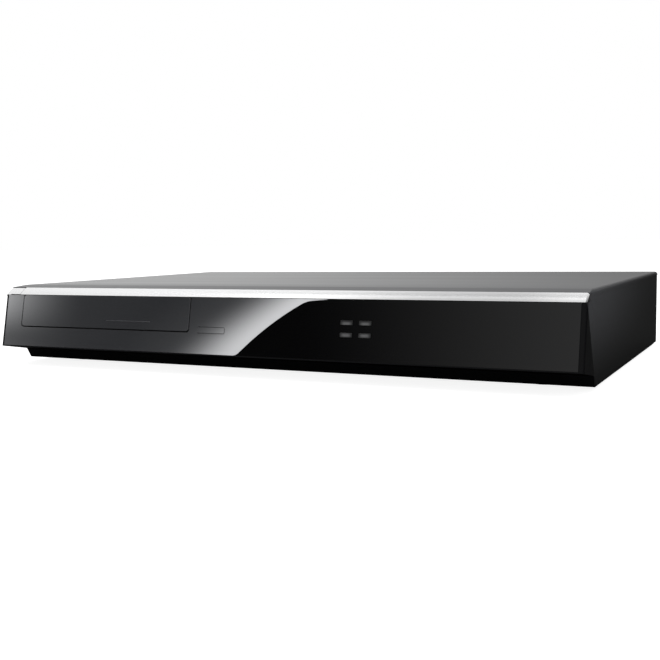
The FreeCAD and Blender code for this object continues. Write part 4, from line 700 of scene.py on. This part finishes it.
class RECORDER_OT_front(bpy.types.Operator):
    """Finishes the front frame, the strip, the two panels and the tray's lid"""

    bl_idname = "recorder.front"
    bl_label = "Front"

    def execute(self, context):
        sizes = context.scene.recorder_front
        dress(moulded_plastic("frame_grey", tuple(sizes.frame), 0.4, 0.12, wear=0.006, specular=0.07), "front_frame")
        strip = strip_metal("strip_metal", tuple(sizes.strip), *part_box("trim_strip"))
        dress(strip, "trim_strip", "power_button")
        dark, light = tuple(sizes.fade_dark), tuple(sizes.fade_light)
        faded = faded_metallic("dark_metallic", dark, light, JOINT, sizes.fade_width, 0.5)
        dress(faded, "silver_fascia", "tray_lid", "eject_button")
        dress(piano_gloss("piano_black", tuple(sizes.black), 0.35), "black_fascia")
        soften(0.25 * MM, "silver_fascia", "tray_lid", "black_fascia", "trim_strip", "power_button", "front_frame")
        line = bmesh.new()
        x0, x1, z = LID_LINE
        add_block(line, (x0, face_y(z) - 0.05, z - 0.2), (x1, face_y(z) + 0.3, z + 0.2), 0.05, 1)
        pale = brushed_metal("lid_line_silver", (0.2, 0.205, 0.215), 0.35, grain=0.05)
        piece("lid_line", line, pale, "tray")
        return {"FINISHED"}


class RECORDER_OT_keys(bpy.types.Operator):
    """Finishes the four small keys"""

    bl_idname = "recorder.keys"
    bl_label = "Keys"

    def execute(self, context):
        colour = tuple(context.scene.recorder_front.key)
        for row, height, names in KEY_ROWS:
            places = [(low.x + high.x) / 2 for low, high in map(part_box, names)]
            dress(shaded_key("key_silver_" + row, colour, places, KEY_LIT * MM, height * MM), *names)
        soften(0.2 * MM, "stop_key", "play_key", "record_key", "channel_key", "eject_button")
        return {"FINISHED"}


def phono_sockets(black, nickel):
    """The blocks with their sleeves and contacts, and the collars and inserts that show each socket's colour."""
    every = PHONO_ROWS[0] + PHONO_ROWS[1] + COMPONENT_ROW
    blocks = bmesh.new()
    add_blocks(
        blocks,
        ((-63.9, 118.9, BOARD_TOP), (-24.1, PANEL_FRONT, 29.4), 0.5),
        ((-63.9, 118.9, 29.6), (-24.1, PANEL_FRONT, 42.9), 0.5),
        ((-1.9, 118.9, 29.5), (37.9, PANEL_FRONT, 42.9), 0.5),
        ((-1.9, 118.9, BOARD_TOP), (2.1, PANEL_FRONT, 29.6), 0.4),
    )
    for x, z in every:
        add_block(blocks, (x - 6.3, 118.5, z - 5.8), (x + 6.3, 119.2, z + 5.2), 0.3)
    piece("phono_blocks", blocks, black, stands_for=("av_input_jacks", "av_output_jacks"))
    sleeves, contacts = bmesh.new(), bmesh.new()
    sleeve = ((4.05, -1.0), (4.15, 1.2), (4.15, 10.9), (3.9, 11.3), (3.65, 11.3), (3.5, 10.8), (3.5, 2.0))
    contact = ((1.7, 3.5), (1.7, 9.2), (1.6, 9.5), (1.3, 9.5), (1.2, 9.2), (1.2, 4.5), (0.0, 4.5))
    for x, z in every:
        add_turned(sleeves, sleeve, (x, PANEL_BACK, z))
        add_turned(contacts, contact, (x, PANEL_BACK, z), steps=20)
    piece("phono_sleeves", sleeves, nickel)
    piece("phono_contacts", contacts, nickel)
    colours = {
        "yellow": ((0.75, 0.5, 0.03), (PHONO_ROWS[0][0], PHONO_ROWS[1][0])),
        "white": ((0.75, 0.75, 0.73), (PHONO_ROWS[0][1], PHONO_ROWS[1][1])),
        "red": ((0.5, 0.02, 0.015), (PHONO_ROWS[0][2], PHONO_ROWS[1][2], COMPONENT_ROW[2])),
        "green": ((0.02, 0.28, 0.07), (COMPONENT_ROW[0],)),
        "blue": ((0.015, 0.08, 0.4), (COMPONENT_ROW[1],)),
    }
    collar = ((4.0, -0.8), (5.4, -0.8), (5.4, 0.85), (5.1, 1.2), (4.3, 1.2), (4.15, 1.0))
    insert = ((3.5, 3.0), (3.5, 6.4), (3.3, 6.7), (1.9, 6.7), (1.7, 6.3), (1.7, 3.0))
    for colour, (value, places) in colours.items():
        rings = bmesh.new()
        for x, z in places:
            add_turned(rings, collar, (x, PANEL_BACK, z))
            add_turned(rings, insert, (x, PANEL_BACK, z))
        piece("phono_rings_" + colour, rings, moulded_plastic("phono_" + colour, value, 0.32, 0.08, wear=0.03))


def aerial_sockets(nickel):
    """Threaded barrels with a white insert round the middle hole."""
    barrels, inserts = bmesh.new(), bmesh.new()
    profile = [(0.6, -0.8), (6.2, -0.8), (6.2, 0.8), (5.8, 1.2), (4.7, 1.2), (4.7, 2.0)]
    for index in range(9):
        thread = ((4.7, 2.0), (4.7, 2.3), (4.4, 2.45), (4.4, 2.75))
        profile += [(radius, along + index * 0.9) for radius, along in thread]
    profile += [(4.6, 10.3), (4.5, 11.3), (4.0, 11.3), (3.8, 10.9), (3.8, 8.0)]
    insert = ((3.8, 7.0), (3.8, 9.6), (3.6, 9.9), (1.3, 9.9), (1.0, 9.6), (1.0, 7.0))
    for x, z in AERIALS:
        add_turned(barrels, profile, (x, PANEL_BACK, z), steps=36)
        add_turned(inserts, insert, (x, PANEL_BACK, z), steps=24)
    piece("aerial_barrels", barrels, nickel, stands_for=("aerial_sockets",))
    piece("aerial_inserts", inserts, moulded_plastic("insert_white", (0.72, 0.71, 0.67), 0.35, 0.1, wear=0.02))


def other_sockets(nickel):
    """The optical socket's hinged door, the row of thin contacts and the mains inlet's two pins."""
    door = bmesh.new()
    add_block(door, (OPTICAL_X - 3.2, 130.72, 18.8), (OPTICAL_X + 3.2, 131.15, 24.6), 0.15)
    add_turned(door, ((0.0, -3.1), (0.45, -3.1), (0.45, 3.1), (0.0, 3.1)), (OPTICAL_X, 131.1, 24.7), "X", 12)
    piece("optical_door", door, moulded_plastic("door_grey", (0.16, 0.16, 0.17), 0.4, 0.1))
    contacts = bmesh.new()
    for index in range(10):
        x = HDMI_X - 4.5 + index
        add_block(contacts, (x - 0.22, 124.0, 22.85), (x + 0.22, 130.8, 22.96))
    gold = brushed_metal("contact_gold", (0.85, 0.6, 0.22), 0.2, grain=0.05)
    piece("hdmi_contacts", contacts, gold)
    pins = bmesh.new()
    pin = ((1.25, -12.0), (1.25, -1.2), (1.0, -0.6), (0.5, -0.35), (0.0, -0.3))
    x, z = INLET
    for side in (-1, 1):
        add_turned(pins, pin, (x + side * INLET_PIN, 131.9, z), steps=24)
    piece("inlet_pins", pins, nickel)


def markings():
    """Printed outlines round the groups of sockets."""
    lines = bmesh.new()
    for low, high in (
        ((-104.5, 13.0), (-87.5, 45.2)),
        ((-65.5, 15.2), (-22.5, 28.9)),
        ((-65.5, 30.1), (-22.5, 43.8)),
        ((-3.5, 30.1), (39.5, 43.8)),
        ((3.0, 15.2), (17.0, 28.9)),
        ((26.0, 15.2), (46.0, 28.9)),
        ((167.5, 12.2), (196.5, 31.8)),
    ):
        add_frame(lines, low, high, PANEL_BACK, 0.35, 0.04)
    piece("rear_markings", lines, moulded_plastic("marking_white", (0.6, 0.6, 0.6), 0.5, 0.1, wear=0.0))


class RECORDER_OT_rear(bpy.types.Operator):
    """Builds the rear sockets and finishes the fan"""

    bl_idname = "recorder.rear"
    bl_label = "Rear sockets"

    def execute(self, context):
        black = moulded_plastic("jack_black", (0.02, 0.02, 0.021), 0.42)
        nickel = brushed_metal("socket_steel", (0.78, 0.77, 0.74), 0.2, (1.0, 0.05, 1.0), 900.0, 0.1)
        dress(black, "optical_socket", "mains_inlet")
        dress(nickel, "hdmi_socket")
        dress(moulded_plastic("fan_black", (0.022, 0.022, 0.024), 0.45), "fan_frame", "fan_rotor")
        phono_sockets(black, nickel)
        aerial_sockets(nickel)
        other_sockets(nickel)
        markings()
        return {"FINISHED"}


class RECORDER_OT_drive(bpy.types.Operator):
    """Finishes the drive: chassis, tray, gears, belt, motors, sled and pickup"""

    bl_idname = "recorder.drive"
    bl_label = "Drive"

    def execute(self, context):
        sizes = context.scene.recorder_inside
        dress(moulded_plastic("tray_black", tuple(sizes.drive), 0.42, 0.3), "disc_tray", "turntable")
        dress(moulded_plastic("drive_black", tuple(sizes.drive), 0.5, 0.5, 1500.0), "drive_chassis")
        steel = brushed_metal("bridge_steel", (0.62, 0.62, 0.61), 0.3, (1.0, 0.04, 1.0), 1100.0)
        dress(steel, "clamp_bridge", "traverse_frame")
        dress(moulded_plastic("gear_white", tuple(sizes.gear), 0.36, 0.1, wear=0.03), "clamper", "drive_gear",
              "pulley_gear", "motor_pulley", "lift_cam", "feed_gear", "feed_pinion")
        dress(rubber("belt_rubber", (0.012, 0.012, 0.012)), "loading_belt")
        motor = brushed_metal("motor_steel", (0.6, 0.6, 0.6), 0.25, (1.0, 1.0, 0.04), 1300.0)
        dress(motor, "loading_motor", "spindle_motor", "feed_motor")
        dress(brushed_metal("rod_steel", (0.8, 0.8, 0.8), 0.1, (1.0, 0.03, 1.0), 1800.0, 0.05), "guide_rods")
        dress(brushed_metal("pickup_alloy", (0.42, 0.42, 0.43), 0.42, (1.0, 1.0, 1.0), 900.0, 0.6), "pickup")
        dress(clear_glass("lens_glass", (0.45, 0.5, 0.75, 1.0), 0.03, 0.75), "pickup_lens")
        x, y = DISC_CENTRE
        grip = bmesh.new()
        ring = ((10.5, 42.2), (14.6, 42.2), (14.6, 42.5), (14.3, 42.65), (10.8, 42.65), (10.5, 42.5))
        add_turned(grip, ring, (x, y, 0.0), "Z", 48)
        piece("turntable_grip", grip, rubber("grip_rubber", (0.03, 0.03, 0.03)), "turntable")
        magnet = bmesh.new()
        add_turned(magnet, ((0.0, 50.3), (4.6, 50.3), (5.0, 50.1), (5.0, 49.9), (0.0, 49.9)), (x, y, 0.0), "Z", 32)
        piece("clamp_magnet", magnet, motor, "clamper")
        coils, yokes = bmesh.new(), bmesh.new()
        for side in (-1, 1):
            add_slab(coils, x + side * 9.6, LENS_Y, 1.4, 4.0, 34.0, 36.4, 0.6, 3)
            add_slab(yokes, x + side * 12.6, LENS_Y, 0.6, 5.0, 34.0, 37.0, 0.2)
        copper = brushed_metal("coil_copper", (0.75, 0.33, 0.16), 0.3, (1.0, 1.0, 0.05), 3000.0, 0.6)
        piece("focus_coils", coils, copper, "pickup")
        piece("focus_yokes", yokes, steel, "pickup")
        return {"FINISHED"}


def chip_legs(tin):
    """Rows of gull-wing legs round the chips."""
    legs = bmesh.new()
    for x, y, wide, deep, high in CHIPS:
        foot = (1.3, BOARD_TOP, BOARD_TOP + 0.15)
        knee = (0.5, BOARD_TOP + 0.1, BOARD_TOP + min(high * 0.6, 0.9))
        # A flat memory chip has legs along two sides only
        sides = [(False, deep / 2, wide), (True, wide / 2, deep)][high < 1.5:]
        for turned, half, run in sides:
            count = int((run - 1.6) / LEG_PITCH)
            for index in range(count + 1):
                along = (index - count / 2) * LEG_PITCH
                for side in (-1, 1):
                    for reach, low, top in (foot, knee):
                        near, far = sorted((side * half, side * (half + reach)))
                        ends = (along - LEG_HALF, near), (along + LEG_HALF, far)
                        (x0, y0), (x1, y1) = [end[::-1] if turned else end for end in ends]
                        add_block(legs, (x + x0, y + y0, low), (x + x1, y + y1, top))
    piece("chip_legs", legs, tin)


def small_parts(tin):
    """Small resistors and capacitors in rows near the chips, with tinned ends."""
    chance = random.Random(7)
    bodies, ends = bmesh.new(), bmesh.new()
    spots = []
    for x, y, wide, deep, _ in CHIPS:
        for row in range(3):
            for column in range(int(wide / 3.2)):
                spots.append((x - wide / 2 + column * 3.2, y + deep / 2 + 4.0 + row * 3.0))
                spots.append((x - wide / 2 + column * 3.2, y - deep / 2 - 4.0 - row * 3.0))
    (left, right), (front, back) = PARTS_FIELD
    for x, y in spots:
        clear = left < x < right and front < y < back
        for cx, cy, wide, deep, _ in CHIPS:
            clear &= abs(x - cx) > wide / 2 + CHIP_MARGIN or abs(y - cy) > deep / 2 + CHIP_MARGIN
        for cx, cy, radius, _ in MAIN_CANS:
            clear &= math.hypot(x - cx, y - cy) > radius + CAN_MARGIN
        if not clear or chance.random() < 0.35:
            continue
        long, wide = PART_SIZE[::-1] if chance.random() < 0.5 else PART_SIZE
        high = BOARD_TOP + chance.choice((0.5, 0.8))
        add_slab(bodies, x, y, long / 2, wide / 2, BOARD_TOP, high)
        half = min(PART_SIZE) / 2 + 0.03
        for side in (-1, 1):
            near, far = sorted((side * 0.5, side * 0.84))
            corners = (near, -half), (far, half)
            (x0, y0), (x1, y1) = [corner if long > wide else corner[::-1] for corner in corners]
            add_block(ends, (x + x0, y + y0, BOARD_TOP), (x + x1, y + y1, high + 0.03))
    piece("small_parts", bodies, moulded_plastic("ceramic_brown", (0.16, 0.1, 0.06), 0.45, 0.1))
    piece("small_part_ends", ends, tin)


def can_tops(alloy):
    """Bare tops of the round capacitors, inside the rolled edge of the sleeve, with a scored cross."""
    tops = bmesh.new()
    for x, y, radius, high in MAIN_CANS + POWER_CANS:
        top = BOARD_TOP + high
        ring = ((0.0, top + 0.12), (radius - 1.1, top + 0.12), (radius - 0.9, top - 0.1))
        add_turned(tops, ring, (x, y, 0.0), "Z", 28)
        for half_x, half_y in ((radius * 0.6, 0.125), (0.125, radius * 0.6)):
            add_slab(tops, x, y, half_x, half_y, top + 0.1, top + 0.16)
    piece("capacitor_tops", tops, alloy)


def connectors(ivory, tin):
    """Plug housings where the flat lead and the wires reach the boards."""
    housings, pins = bmesh.new(), bmesh.new()
    add_blocks(
        housings,
        ((58.0, -90.5, BOARD_TOP), (86.0, -85.5, 18.2), 0.3),
        ((59.0, -91.0, 17.6), (85.0, -89.6, 18.6), 0.2),
        ((113.4, -22.2, BOARD_TOP), (118.8, -10.2, 18.4), 0.3),
        ((134.4, -22.2, BOARD_TOP), (139.8, -10.2, 18.4), 0.3),
        ((-30.0, 60.0, BOARD_TOP), (-24.0, 88.0, 20.0), 0.4),
    )
    for index in range(13):
        add_slab(pins, -27.0, 62.0 + index * 2.0, 0.3, 0.25, 15.0, 20.6)
    piece("plug_housings", housings, ivory)
    piece("plug_pins", pins, tin)


def transformer(ivory):
    """Ferrite core in two halves, a taped winding between its legs and the bobbin's flanges."""
    x, y = TRANSFORMER
    core, coil, bobbin = bmesh.new(), bmesh.new(), bmesh.new()
    base = BOARD_TOP + 0.2
    for low, high in ((base, 27.5), (27.7, 41.6)):
        for side in (-1, 1):
            add_slab(core, x + side * 14.7, y, 2.3, 7.0, low, high, 0.4)
    for low, high in ((base, 18.0), (37.2, 41.6)):
        add_slab(core, x, y, 17.0, 7.0, low, high, 0.4)
    add_slab(coil, x, y, 12.0, 13.6, 19.0, 36.2, 4.0, 5)
    for z in (18.0, 36.0):
        add_slab(bobbin, x, y, 12.3, 14.0, z, z + 1.2, 0.3)
    for side in (-1, 1):
        add_slab(bobbin, x, y + side * 11.5, 12.0, 2.5, BOARD_TOP, 18.2, 0.3)
    ferrite = moulded_plastic("ferrite_grey", (0.035, 0.034, 0.033), 0.55, 0.5, 900.0)
    piece("transformer_core", core, ferrite, stands_for=("power_transformer",))
    piece("transformer_coil", coil, wound_tape("winding_tape", (0.72, 0.5, 0.06)))
    black = moulded_plastic("bobbin_black", (0.02, 0.02, 0.02), 0.4)
    piece("transformer_bobbin", bobbin, black)


def mains_filter(tin):
    """The mains side: a boxed capacitor, a wound choke and a glass fuse in clips."""
    box, winding, rod, clips, glass = (bmesh.new() for _ in range(5))
    add_block(box, (158.0, 92.0, BOARD_TOP), (176.0, 106.0, 29.6), 0.6, 3)
    profile = [(0.5, 0.6)]
    for index in range(12):
        turn = ((2.1, 1.2), (2.5, 1.45), (2.6, 1.8), (2.5, 2.15), (2.1, 2.45))
        profile += [(radius, along + index * 1.3) for radius, along in turn]
    add_turned(winding, profile + [(0.5, 17.4)], CHOKE, "X", 18)
    ferrite = ((0.0, 0.0), (1.7, 0.0), (1.9, 0.2), (1.9, 17.8), (1.7, 18.0), (0.0, 18.0))
    add_turned(rod, ferrite, CHOKE, "X", 18)
    for x in (184.0, 188.6):
        add_block(clips, (x, 88.4, BOARD_TOP), (x + 1.4, 93.6, 20.6), 0.2)
    add_turned(glass, ((0.0, -2.9), (2.4, -2.9), (2.4, 2.9), (0.0, 2.9)), FUSE, "X", 20)
    yellow = moulded_plastic("film_yellow", (0.62, 0.42, 0.03), 0.35, 0.15)
    piece("filter_capacitor", box, yellow, stands_for=("mains_filter",))
    copper = brushed_metal("choke_copper", (0.6, 0.24, 0.1), 0.35, (1.0, 0.1, 0.1), 1500.0)
    piece("choke_winding", winding, copper)
    piece("choke_rod", rod, moulded_plastic("choke_ferrite", (0.03, 0.03, 0.03), 0.55))
    piece("fuse_clips", clips, tin)
    piece("fuse_glass", glass, clear_glass("fuse_clear", (0.7, 0.72, 0.7, 1.0), 0.05, 0.5))


def tuner(tin):
    """The tuner's tinned box, with its folded lid, its corner tabs, and painted shade laid on the lid for its tuning
    holes.
    """
    can, holes = bmesh.new(), bmesh.new()
    add_block(can, (-113.6, 95.3, BOARD_TOP), (-76.4, 130.5, 45.4), 0.5)
    add_block(can, (-114.0, 94.9, 37.5), (-76.0, 130.9, 46.0), 0.4)
    for index in range(5):
        x = -110.0 + index * 7.4
        add_block(can, (x, 94.7, 30.0), (x + 3.6, 95.4, 37.8), 0.1)
    # Painted shade: dark discs for the tuning holes and dark strips across the lid, laid on its top
    for x, y, radius in ((-106.0, 103.0, 2.2), (-95.0, 112.0, 1.8), (-84.0, 102.0, 2.2), (-88.0, 121.0, 1.8)):
        add_turned(holes, ((0.0, 46.02), (radius, 46.02), (radius, 45.9)), (x, y, 0.0), "Z", 20)
    for y in (106.9, 118.9):
        add_block(holes, (-113.0, y - 0.25, 45.9), (-77.0, y + 0.25, 46.03))
    sheet = brushed_metal("tin_can", (0.66, 0.665, 0.66), 0.28, (0.05, 1.0, 1.0), 700.0, 0.15)
    piece("tuner_shield", can, sheet, stands_for=("tuner_can",))
    piece("tuner_holes", holes, moulded_plastic("hole_painted_shade", (0.01, 0.01, 0.01), 0.8))


class RECORDER_OT_boards(bpy.types.Operator):
    """Finishes the circuit boards and what stands on them"""

    bl_idname = "recorder.boards"
    bl_label = "Boards"

    def execute(self, context):
        mask = tuple(context.scene.recorder_inside.board)
        green = circuit_board("board_green", mask, tuple(channel * 1.9 + 0.01 for channel in mask), 0.0005)
        dress(green, "main_board", "drive_board")
        tan = circuit_board("board_tan", (0.34, 0.2, 0.075), (0.42, 0.27, 0.11), 0.001)
        dress(tan, "power_board", "front_boards")
        dress(moulded_plastic("chip_black", (0.014, 0.014, 0.015), 0.5, 0.2), "main_chips", "tact_switches",
              "remote_sensor")
        alloy = brushed_metal("sink_alloy", (0.7, 0.7, 0.71), 0.32, (1.0, 1.0, 0.03), 1200.0)
        dress(alloy, "main_heat_sink", "power_heat_sink")
        dress(moulded_plastic("capacitor_sleeve", (0.02, 0.03, 0.09), 0.28, 0.05), "power_capacitors")
        dress(moulded_plastic("wire_red", (0.45, 0.03, 0.02), 0.4, 0.1), "power_harness")
        dress(ribbon_film("ribbon_white", (0.78, 0.78, 0.76), 0.001), "front_ribbon")
        dress(clear_glass("display_glass", (0.03, 0.045, 0.05, 1.0), 0.05, 0.8), "display_tube")
        dress(brushed_metal("board_screw", (0.6, 0.58, 0.5), 0.3), "inner_screws")
        tin = brushed_metal("solder_tin", (0.72, 0.72, 0.7), 0.28, grain=0.1)
        ivory = moulded_plastic("connector_ivory", (0.68, 0.64, 0.52), 0.4, 0.1, wear=0.02)
        chip_legs(tin)
        small_parts(tin)
        can_tops(alloy)
        connectors(ivory, tin)
        transformer(ivory)
        mains_filter(tin)
        tuner(tin)
        return {"FINISHED"}


def add_floor():
    """A white floor that glows for the camera alone and is dim in reflections."""
    mesh = bpy.data.meshes.new("floor")
    shape = bmesh.new()
    bmesh.ops.create_grid(shape, x_segments=1, y_segments=1, size=FLOOR_HALF)
    shape.to_mesh(mesh)
    shape.free()
    made = bpy.data.materials.new("floor_white")
    start = empty_nodes(made)
    seen = start.node("LightPath", output="Is Camera Ray")
    dim = seen.out("Is Glossy Ray") * 0.9
    cloud = start.noise(2.0).between(0.3, 0.7, 0.98, 1.0)
    shade = start.node("BsdfDiffuse", {}, {"Color": cloud * 0.5 * (1.0 - dim)})
    glow = start.node("Emission", {}, {"Color": (1.0, 1.0, 1.0, 1.0), "Strength": seen * 0.88})
    both = start.node("AddShader", {}, {0: shade, 1: glow})
    start.node("OutputMaterial", {}, {"Surface": both})
    mesh.materials.append(made)
    floor = add_object("floor", mesh)


def add_surround(context, sizes):
    """Even light from all round. Reflections see it graded: bright from above, and by side ahead and behind."""
    world = bpy.data.worlds.new("surround")
    context.scene.world = world
    start = empty_nodes(world)
    x, y, z = start.node("TexCoord", output="Generated").axes()
    seen = start.node("LightPath", output="Is Camera Ray")
    glossy = seen.out("Is Glossy Ray")
    behind = x.between(-0.7, 0.25, 0.95, 0.03)
    ahead = x.between(-0.5, -0.12, 0.02, 0.95) + x.between(-0.85, -0.6, 0.45, 0.0)
    side = y.between(-0.2, 0.2)
    level = side * behind + (1.0 - side) * ahead
    above = z.between(0.3, 0.42)
    mirrored = above * 0.9 + (1.0 - above) * level
    plain = seen.maths("MAXIMUM", seen, seen.out("Is Transmission Ray"))
    level = plain + (1.0 - plain) * (glossy * mirrored + (1.0 - glossy) * sizes.surround)
    back = start.node("Background", {}, {"Color": (1.0, 1.0, 1.0, 1.0), "Strength": level})
    start.node("OutputWorld", {}, {"Surface": back})


def add_lamp(sizes):
    light = bpy.data.lights.new("overhead", "AREA")
    light.shape = "RECTANGLE"
    light.size, light.size_y = LAMP_SIZE
    light.energy = sizes.overhead
    lamp = add_object("overhead", light)
    lamp.location = LAMP_PLACE
    lamp.rotation_euler = Euler([math.radians(turn) for turn in LAMP_TILT]).to_matrix().inverted().to_euler()


def add_camera(context, sizes):
    yaw, pitch, roll = [math.radians(turn) for turn in CAMERA_TURN]
    ahead = Vector((-math.sin(yaw) * math.cos(pitch), math.cos(yaw) * math.cos(pitch), -math.sin(pitch)))
    right = Vector((math.cos(yaw), math.sin(yaw), 0.0))
    up = right.cross(ahead)
    turned = right * math.cos(roll) + up * math.sin(roll)
    data = bpy.data.cameras.new("camera")
    data.lens = sizes.lens
    data.sensor_width = 36.0
    data.clip_start = 0.01
    camera = add_object("camera", data)
    camera.matrix_world = Matrix((turned, turned.cross(ahead), -ahead)).transposed().to_4x4()
    camera.location = CAMERA_PLACE
    context.scene.camera = camera


class RECORDER_OT_stage(bpy.types.Operator):
    """Adds the floor, the light and the camera"""

    bl_idname = "recorder.stage"
    bl_label = "Stage"

    def execute(self, context):
        sizes = context.scene.recorder_stage
        add_floor()
        add_surround(context, sizes)
        add_lamp(sizes)
        add_camera(context, sizes)
        context.scene.view_settings.view_transform = "Standard"
        return {"FINISHED"}


OPERATORS = (
    RECORDER_OT_case,
    RECORDER_OT_front,
    RECORDER_OT_keys,
    RECORDER_OT_rear,
    RECORDER_OT_drive,
    RECORDER_OT_boards,
    RECORDER_OT_stage,
)
GROUPS = {
    "recorder_case": RecorderCase,
    "recorder_front": RecorderFront,
    "recorder_inside": RecorderInside,
    "recorder_stage": RecorderStage,
}


class RECORDER_PT_panel(bpy.types.Panel):
    """Lists the sizes, the colours and the steps"""

    bl_idname = "RECORDER_PT_panel"
    bl_label = "Disc recorder"
    bl_space_type = "VIEW_3D"
    bl_region_type = "UI"
    bl_category = "Disc recorder"

    def draw(self, context):
        for name in GROUPS:
            group = getattr(context.scene, name)
            column = self.layout.box().column()
            for key in group.bl_rna.properties.keys():
                if key not in ("rna_type", "name"):
                    column.prop(group, key)
        for operator in OPERATORS:
            self.layout.operator(operator.bl_idname)


def register():
    for group in GROUPS.values():
        bpy.utils.register_class(group)
    for name, group in GROUPS.items():
        setattr(bpy.types.Scene, name, PointerProperty(type=group))
    for operator in OPERATORS:
        bpy.utils.register_class(operator)
    bpy.utils.register_class(RECORDER_PT_panel)


def unregister():
    bpy.utils.unregister_class(RECORDER_PT_panel)
    for operator in reversed(OPERATORS):
        bpy.utils.unregister_class(operator)
    for name, group in GROUPS.items():
        delattr(bpy.types.Scene, name)
        bpy.utils.unregister_class(group)


def main():
    register()
    bpy.ops.recorder.case()
    bpy.ops.recorder.front()
    bpy.ops.recorder.keys()
    bpy.ops.recorder.rear()
    bpy.ops.recorder.drive()
    bpy.ops.recorder.boards()
    bpy.ops.recorder.stage()


if __name__ == "__main__":
    main()
